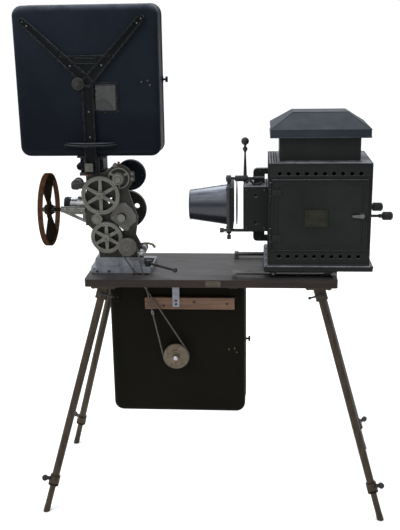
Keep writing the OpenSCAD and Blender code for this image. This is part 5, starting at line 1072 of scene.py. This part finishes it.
def lens_fittings():
    """Black end ring with its grip, front glass and bands of the lens; sleeve and clamp screw of its jacket."""
    x, y, z = span("lens_barrel")[0].x, middle("lens_barrel").y, middle("lens_barrel").z
    ring = Fitting().turned((x - 0.4, y, z), RIGHT, [
        (0, 16.8), (0, 21.4), (0.8, 22.2), (16.4, 22.2), (17.4, 21.4), (17.4, 16.8)], 44, True)
    ring.fit("lens_end_ring", KNOB, "nickel", "lens_barrel")
    ring_of("lens_ring_grip", FINE_RIDGE, 44, 21.8, (x + 8.6, y, z), RIGHT, KNOB, "lens_barrel")
    glass = Fitting().turned((x + 4.2, y, z), LEFT, [(0, 16.4), (0.6, 16.4), (2.0, 12), (2.9, 6.5), (3.2, 0)], 40)
    glass.fit("front_lens", LENS, "lens_glass", "lens_barrel")
    bands = Fitting()
    for at in (24, 32):
        bands.turned((x + at, y, z), RIGHT, [(-1, 19.3), (-0.6, 20.2), (0.6, 20.2), (1, 19.3)], 44)
    bands.fit("lens_bands", NICKEL, "nickel", "lens_barrel")
    sleeve = Fitting().turned((FILM_X - 42.6, y, z), RIGHT, [
        (0, 25.5), (0.4, 26.1), (25.4, 26.1), (25.8, 25.5)], 56, True)
    sleeve.fit("lens_jacket_sleeve", NICKEL, "nickel")
    screw = Fitting().turned((FILM_X - 28.4, y, z + 24.5), UP, [
        (0, 5), (3, 5), (3.4, 3), (8, 3), (8.4, 6.4), (13, 6.4), (14, 5.4), (14, 0)], 24)
    screw.fit("lens_clamp_screw", NICKEL, "nickel")


def shutter_fittings():
    """Hub nut and wing rivets of the shutter, screws of its arm."""
    x, y, z = span("shutter_wheel")[0].x + 14, middle("shutter_wheel").y, middle("shutter_wheel").z
    hub = Fitting().turned((x - 10, y, z), LEFT, [(-1, 12), (2, 12), (3, 11), (3, 7)])
    hub.turned((x - 14, y, z), LEFT, [(-2, 7), (3.4, 7), (4.2, 6.2), (4.2, 0)], 6)
    hub.turned((x + 10, y, z), RIGHT, [(-1, 11.5), (5, 11.5), (6, 10.5), (6, 7.5)])
    hub.fit("shutter_hub_nut", BLUED, "shutter_paint", "shutter_wheel")
    ring_r, half_wing = 22, 1.25
    turns = [math.radians(30 + 60 * k) for k in range(6)]
    rivets = [((x + s * half_wing, y + ring_r * math.cos(a), z + ring_r * math.sin(a)), (s, 0, 0))
              for s in (-1, 1) for a in turns]
    heads("shutter_rivets", RIVET, 2.0, rivets, BLUED, "shutter_wheel")
    arm_front = -62
    arm = on_front((FILM_X, arm_front, z), ((-22.4, -2), (-22.4, -26), (-70.4, 4)))
    heads("shutter_arm_screws", SCREW, 2.8, arm, STEEL)


# Lamphouse

SHELL_LOW, SHELL_HIGH = span("lamphouse_shell")
LAMP_X, LAMP_Y, LAMP_Z = ((SHELL_LOW.x, SHELL_HIGH.x), (SHELL_LOW.y + 6, SHELL_HIGH.y),
                          (SHELL_LOW.z, SHELL_HIGH.z))
CHIM_X, CHIM_Y = ([getattr(corner, axis) + shift for corner, shift in zip(span("chimney"), (4, -4))]
                  for axis in "xy")
ROOF_X, ROOF_Y, (EAVE_LOW, ROOF_TOP) = ([getattr(corner, axis) for corner in span("roof")] for axis in "xyz")


def level_loop(xs, ys, z, corner=3):
    """Path round a rectangle at one height."""
    mid = ((xs[0] + xs[1]) / 2, (ys[0] + ys[1]) / 2)
    return [(mid[0] + x, mid[1] + y, z) for x, y in around(xs[1] - xs[0], ys[1] - ys[0], corner, 4)]


def upright_loop(x, y, z, w, h, corner=3):
    """Path round a rectangle that faces the camera side."""
    return [(x + u, y, z + v) for u, v in around(w, h, corner, 4)]


def roof_levels():
    """Height of the eave's top edge, and how far the flat top lies inside the eaves, from the solid itself."""
    corners = [v.co / MM for v in nodes["roof"].data.vertices]
    edge = max(p.z for p in corners if abs(p.x - ROOF_X[0]) < 0.5)
    return edge, min(p.x for p in corners if p.z > ROOF_TOP - 0.5) - ROOF_X[0]


def lamphouse_seams():
    """Rolled edges and folded corner seams of the lamphouse, chimney and roof."""
    seams = Fitting().bead(level_loop(LAMP_X, LAMP_Y, LAMP_Z[1] - 1.2), 2.0)
    seams.bead(level_loop(LAMP_X, LAMP_Y, LAMP_Z[0] + 2.0), 2.0)
    low, high = span("lamphouse_base")
    seams.bead(level_loop((low.x + 0.2, high.x - 0.2), (low.y + 0.2, high.y - 0.2), high.z - 3), 1.8)
    for x in LAMP_X:
        for y in LAMP_Y:
            seams.seam((x, y, LAMP_Z[0] + 2), (x, y, LAMP_Z[1] - 2), 1.6)
    fold = LAMP_Z[1] - 34
    seams.seam((LAMP_X[0] + 5, LAMP_Y[0], fold), (LAMP_X[1] - 5, LAMP_Y[0], fold), 1.7)
    for x in (CHIM_X[0] + 13, CHIM_X[1] - 13):
        for y in CHIM_Y:
            seams.seam((x, y, LAMP_Z[1] + 3), (x, y, EAVE_LOW), 1.2)
    for y in (-40, 30):
        seams.seam((LAMP_X[1], y, LAMP_Z[0] + 3), (LAMP_X[1], y, LAMP_Z[1] - 3), 1.2)
    seams.fit("lamphouse_seams", LAMP_TRIM, "black_enamel", "lamphouse")
    edge, run = roof_levels()
    sunk = 0.6
    hood = Fitting().bead(level_loop(ROOF_X, ROOF_Y, EAVE_LOW + 1.5), 1.9)
    hood.bead(level_loop(ROOF_X, ROOF_Y, edge - sunk, 2), 1.2)
    flat = []
    for i, j in ((0, 0), (1, 0), (1, 1), (0, 1)):
        x, y = ROOF_X[i], ROOF_Y[j]
        flat.append((x + (-run if i else run), y + (-run if j else run), ROOF_TOP - sunk))
        hood.seam((x, y, edge - sunk), flat[-1], 1.4)
    hood.bead(flat, 1.4)
    hood.fit("roof_seams", HOOD, "black_enamel", "lamphouse")


def lamphouse_heads():
    """Rivets of the sheets, studs of the top, screws of the base and of the clamps on the rails."""
    (x0, x1), (y0, y1), (z0, z1) = LAMP_X, LAMP_Y, LAMP_Z
    inset, pitch = 9, 36
    rise = steps_between(z0 + 24, z1 - 24, pitch)
    rows = [((x, y1, z), BACKWARD) for x in (x0 + inset, x1 - inset) for z in rise]
    rows += [((x, y, z), facing) for x, facing in zip(LAMP_X, (LEFT, RIGHT))
             for y in (y0 + inset, y1 - inset) for z in rise]
    rows += [((x, y1, z), BACKWARD) for z in (z0 + 12, z1 - 12) for x in steps_between(x0 + 32, x1 - 32, pitch)]
    rows += [((x, CHIM_Y[0] - 2, z1 + 3), UP) for x in steps_between(CHIM_X[0] + inset, CHIM_X[1] - inset, 34)]
    heads("lamphouse_rivets", RIVET, 2.2, rows, LAMP_TRIM, "lamphouse")
    studs = [((x, y, z1), UP) for x in steps_between(x0 + 7, CHIM_X[0] - 8, 7.5)
             for y in steps_between(y0 + 10, y1 - 10, 8)]
    heads("top_sheet_studs", RIVET, 1.9, studs, BLUED, "lamphouse")
    low, high = span("lamphouse_base")
    edge = [((x, y, high.z), UP) for x in (low.x + 5.6, high.x - 5.4)
            for y in (low.y + 5.6, -60, 0, 60, high.y - 5.6)]
    heads("lamp_base_screws", SCREW, 2.6, edge, BLUED, "lamphouse")
    clamp_front, clamp_back, clamp_z = -115, 105, BOARD_TOP + 12
    clamp = [((x0 + dx, y, clamp_z), facing)
             for dx in (14, 178) for y, facing in ((clamp_front, FORWARD), (clamp_back, BACKWARD))]
    heads("rail_clamp_screws", SCREW, 4.2, clamp, ARM, "lamphouse")


def lamphouse_door_fittings():
    """Edge beads and bare plate of the door, hinge leaves, the handle's escutcheon and its tip."""
    low, high = span("lamphouse_door")
    barrel, sunk = 7.5, 1.7
    front, mid, rise = low.y + sunk, (low.x + barrel + high.x) / 2, (low.z + high.z) / 2
    wide, tall = high.x - low.x - barrel, high.z - low.z
    bead = Fitting().bead(upright_loop(mid, front, rise, wide - 3, tall - 3), 1.5)
    bead.bead(upright_loop(mid, front, rise, wide - 30, tall - 30, 4), 0.9)
    bead.fit("door_beads", LAMP_TRIM, "black_enamel", "lamphouse_door")
    px, pz, thick = mid - 9, rise - 7, 1.2
    plate = Fitting().panel(around(62, 48, 2), (px, front, pz), thick, edge=0.4)
    plate.panel(around(58, 44, 2), (px, front - thick, pz), 0.6, around(54, 40, 2), 0.2)
    plate.fit("door_bare_plate", PLATE, "worn_steel", "lamphouse_door")
    pins = on_front((px, front - thick, pz), [(x, z) for x in (-25, 25) for z in (-18, 18)])
    heads("door_plate_pins", RIVET, 1.4, pins, PLATE, "lamphouse_door")
    grip_low, grip_high = span("lamp_door_handle")
    pivot, leaf, leaf_thick = grip_high.x - 7, low.x + 21.1, 1.4
    leaves, rivets = Fitting(), []
    for z in (rise - 64, rise + 64):
        leaves.panel(around(26, 17, 2), (leaf, front, z), leaf_thick, edge=0.3)
        rivets += on_front((leaf, front - leaf_thick, z), ((-6, 4), (-6, -4), (7, 4), (7, -4)))
    leaves.turned((pivot, front, rise), FORWARD, [(-0.4, 10), (0.6, 10), (1.0, 9.4), (1.0, 0)])
    leaves.fit("door_leaves", LAMP_TRIM, "black_enamel", "lamphouse_door")
    heads("door_leaf_rivets", RIVET, 1.8, rivets, BLUED, "lamphouse_door")
    tip = Fitting().ball((grip_low.x + 3, grip_low.y + 2.6, rise), 3.4)
    tip.turned((pivot, grip_low.y, rise), FORWARD, [(-0.6, 4.6), (1, 4.6), (2, 3.6), (2.2, 0)], 20)
    tip.fit("door_handle_tip", RAIL, "bright_steel", "lamp_door_handle")


def condenser_fittings():
    """Edge beads, bent strap and screws of the condenser box, with the guide frame before it; rim, seam, rivets
    and flange screws of the cone."""
    low, high = span("condenser_box")
    mid, half = middle("condenser_box"), 63.5
    x0, x1, y0, y1, z0, z1 = low.x, high.x, low.y, high.y, mid.z - half, mid.z + half
    box = Fitting()
    for x in (x0 + 1, x1 - 5):
        box.bead([(x, mid.y + y, mid.z + z) for y, z in around(y1 - y0, z1 - z0, 3, 4)], 1.3)
    strap = ((8.6, 6), (12.6, 12), (18.6, 13), (23.6, 9), (27.6, 3), (33.6, 1.5), (42.6, 3), (52.6, 8))
    for y in (-45, -40, -35):
        box.tube([(x0 + dx, y, z1 + dz) for dx, dz in strap], 2.6, 8)
    box.fit("condenser_beads", LAMP_TRIM, "black_enamel", "lamphouse")
    flange_thick, guide_thick, guide_half = 8, 10, 60
    hole = disc(52, 56)
    square = [tuple(c * guide_half / max(abs(x), abs(y)) for c in (x, y)) for x, y in hole]
    guide = Fitting().plate(square, (CONE_MOUTH + CONE_LENGTH + flange_thick, mid.y, mid.z), BACKWARD, UP,
                            (guide_thick, 0, 0), hole, 0.6)
    guide.fit("slide_guide", LAMP_TRIM, "cone_zinc", "lamphouse")
    corners = [((x, y0, z), FORWARD) for x in (x0 + 9, x1 - 10) for z in (z0 + 9, z1 - 9)]
    heads("condenser_screws", SCREW, 4.2, corners, BLUED, "lamphouse")
    ear_front = -12.5
    ears = on_front((x0 + 46.6, ear_front, mid.z), ((0, 99), (0, -99)))
    heads("ear_screws", SCREW, 3.0, ears, BLUED, "lamphouse")
    r, slope = CONE_R, CONE_FLARE / CONE_LENGTH
    cone = Fitting().turned((CONE_MOUTH, mid.y, mid.z), RIGHT, [
        (-0.8, r - 1.2), (-1.2, r + 0.4), (0.6, r + 2.0), (2.6, r + 1.6), (3.4, r + 0.2), (2, r - 1.6)], 56, True)
    seam = [(CONE_MOUTH + at, mid.z + r + at * slope + 0.2) for at in steps_between(3, CONE_LENGTH - 3, 12)]
    for dy in (-3.5, 0, 3.5):
        cone.tube([(x, mid.y + dy, z - 0.12 * abs(dy)) for x, z in seam], 1.0, 6)
    cone.fit("cone_rim_and_seam", CONE, "cone_zinc", "lamphouse")
    rivets = [((x, mid.y, z + 1.0), (-slope, 0, 1)) for x, z in seam[1:-1:2]]
    heads("cone_seam_rivets", RIVET, 1.8, rivets, CONE, "lamphouse")
    flange = [((CONE_MOUTH + CONE_LENGTH, y, z), LEFT) for y in (y0 + 9, y1 - 9) for z in (z0 + 9, z1 - 9)]
    heads("cone_flange_screws", SCREW, 3.0, flange, BLUED, "lamphouse")


def control_fittings():
    """Fluted grips, collars and wall plates of the two lamp controls."""
    thick, screw_r = 1.6, 10.3
    turns = [math.radians(90 + 120 * k) for k in range(3)]
    for name in ("short", "long"):
        body = name + "_control"
        end, y, z = span(body)[1].x, middle(body).y, middle(body).z
        ring_of(name + "_grip", KNOB_RIDGE, 22, 11, (end - 15, y, z), RIGHT, KNOB, body)
        collar = Fitting().turned((end - 33, y, z), LEFT, [(-1, 6), (5, 6), (6, 5.2), (6, 4)], 24)
        collar.turned((end - 0.4, y, z), RIGHT, [(-1, 8.6), (0.2, 8.6), (1.2, 6.5), (1.2, 0)])
        collar.fit(name + "_control_collar", BLUED, "knob_black", body)
        wall = Fitting().plate(disc(13), (LAMP_X[1], y, z), BACKWARD, UP, (thick, 0, 0), disc(7.6), 0.3)
        wall.fit(name + "_control_plate", LAMP_TRIM, "black_enamel", "lamphouse")
        screws = [((LAMP_X[1] + thick, y + screw_r * math.cos(a), z + screw_r * math.sin(a)), RIGHT) for a in turns]
        heads(name + "_plate_screws", SCREW, 1.6, screws, BLUED, "lamphouse")


lay_floor()
aim_camera()
light_room()
dress_solids()
board_fittings()
leg_rings()
magazine_beads("upper", UPPER, "upper_magazine_door", MAGAZINE)
magazine_beads("lower", LOWER, "lower_magazine_door", MAGAZINE_SHADED)
upper_magazine_fittings()
lower_magazine_fittings()
takeup_belt()
gear_hubs()
film_teeth()
frame_fittings()
base_fittings()
lens_fittings()
shutter_fittings()
lamphouse_seams()
lamphouse_heads()
lamphouse_door_fittings()
condenser_fittings()
control_fittings()
for made in (SCREW, RIVET, NUT, TOOTH, KNOB_RIDGE, FINE_RIDGE):
    bpy.data.objects.remove(made)
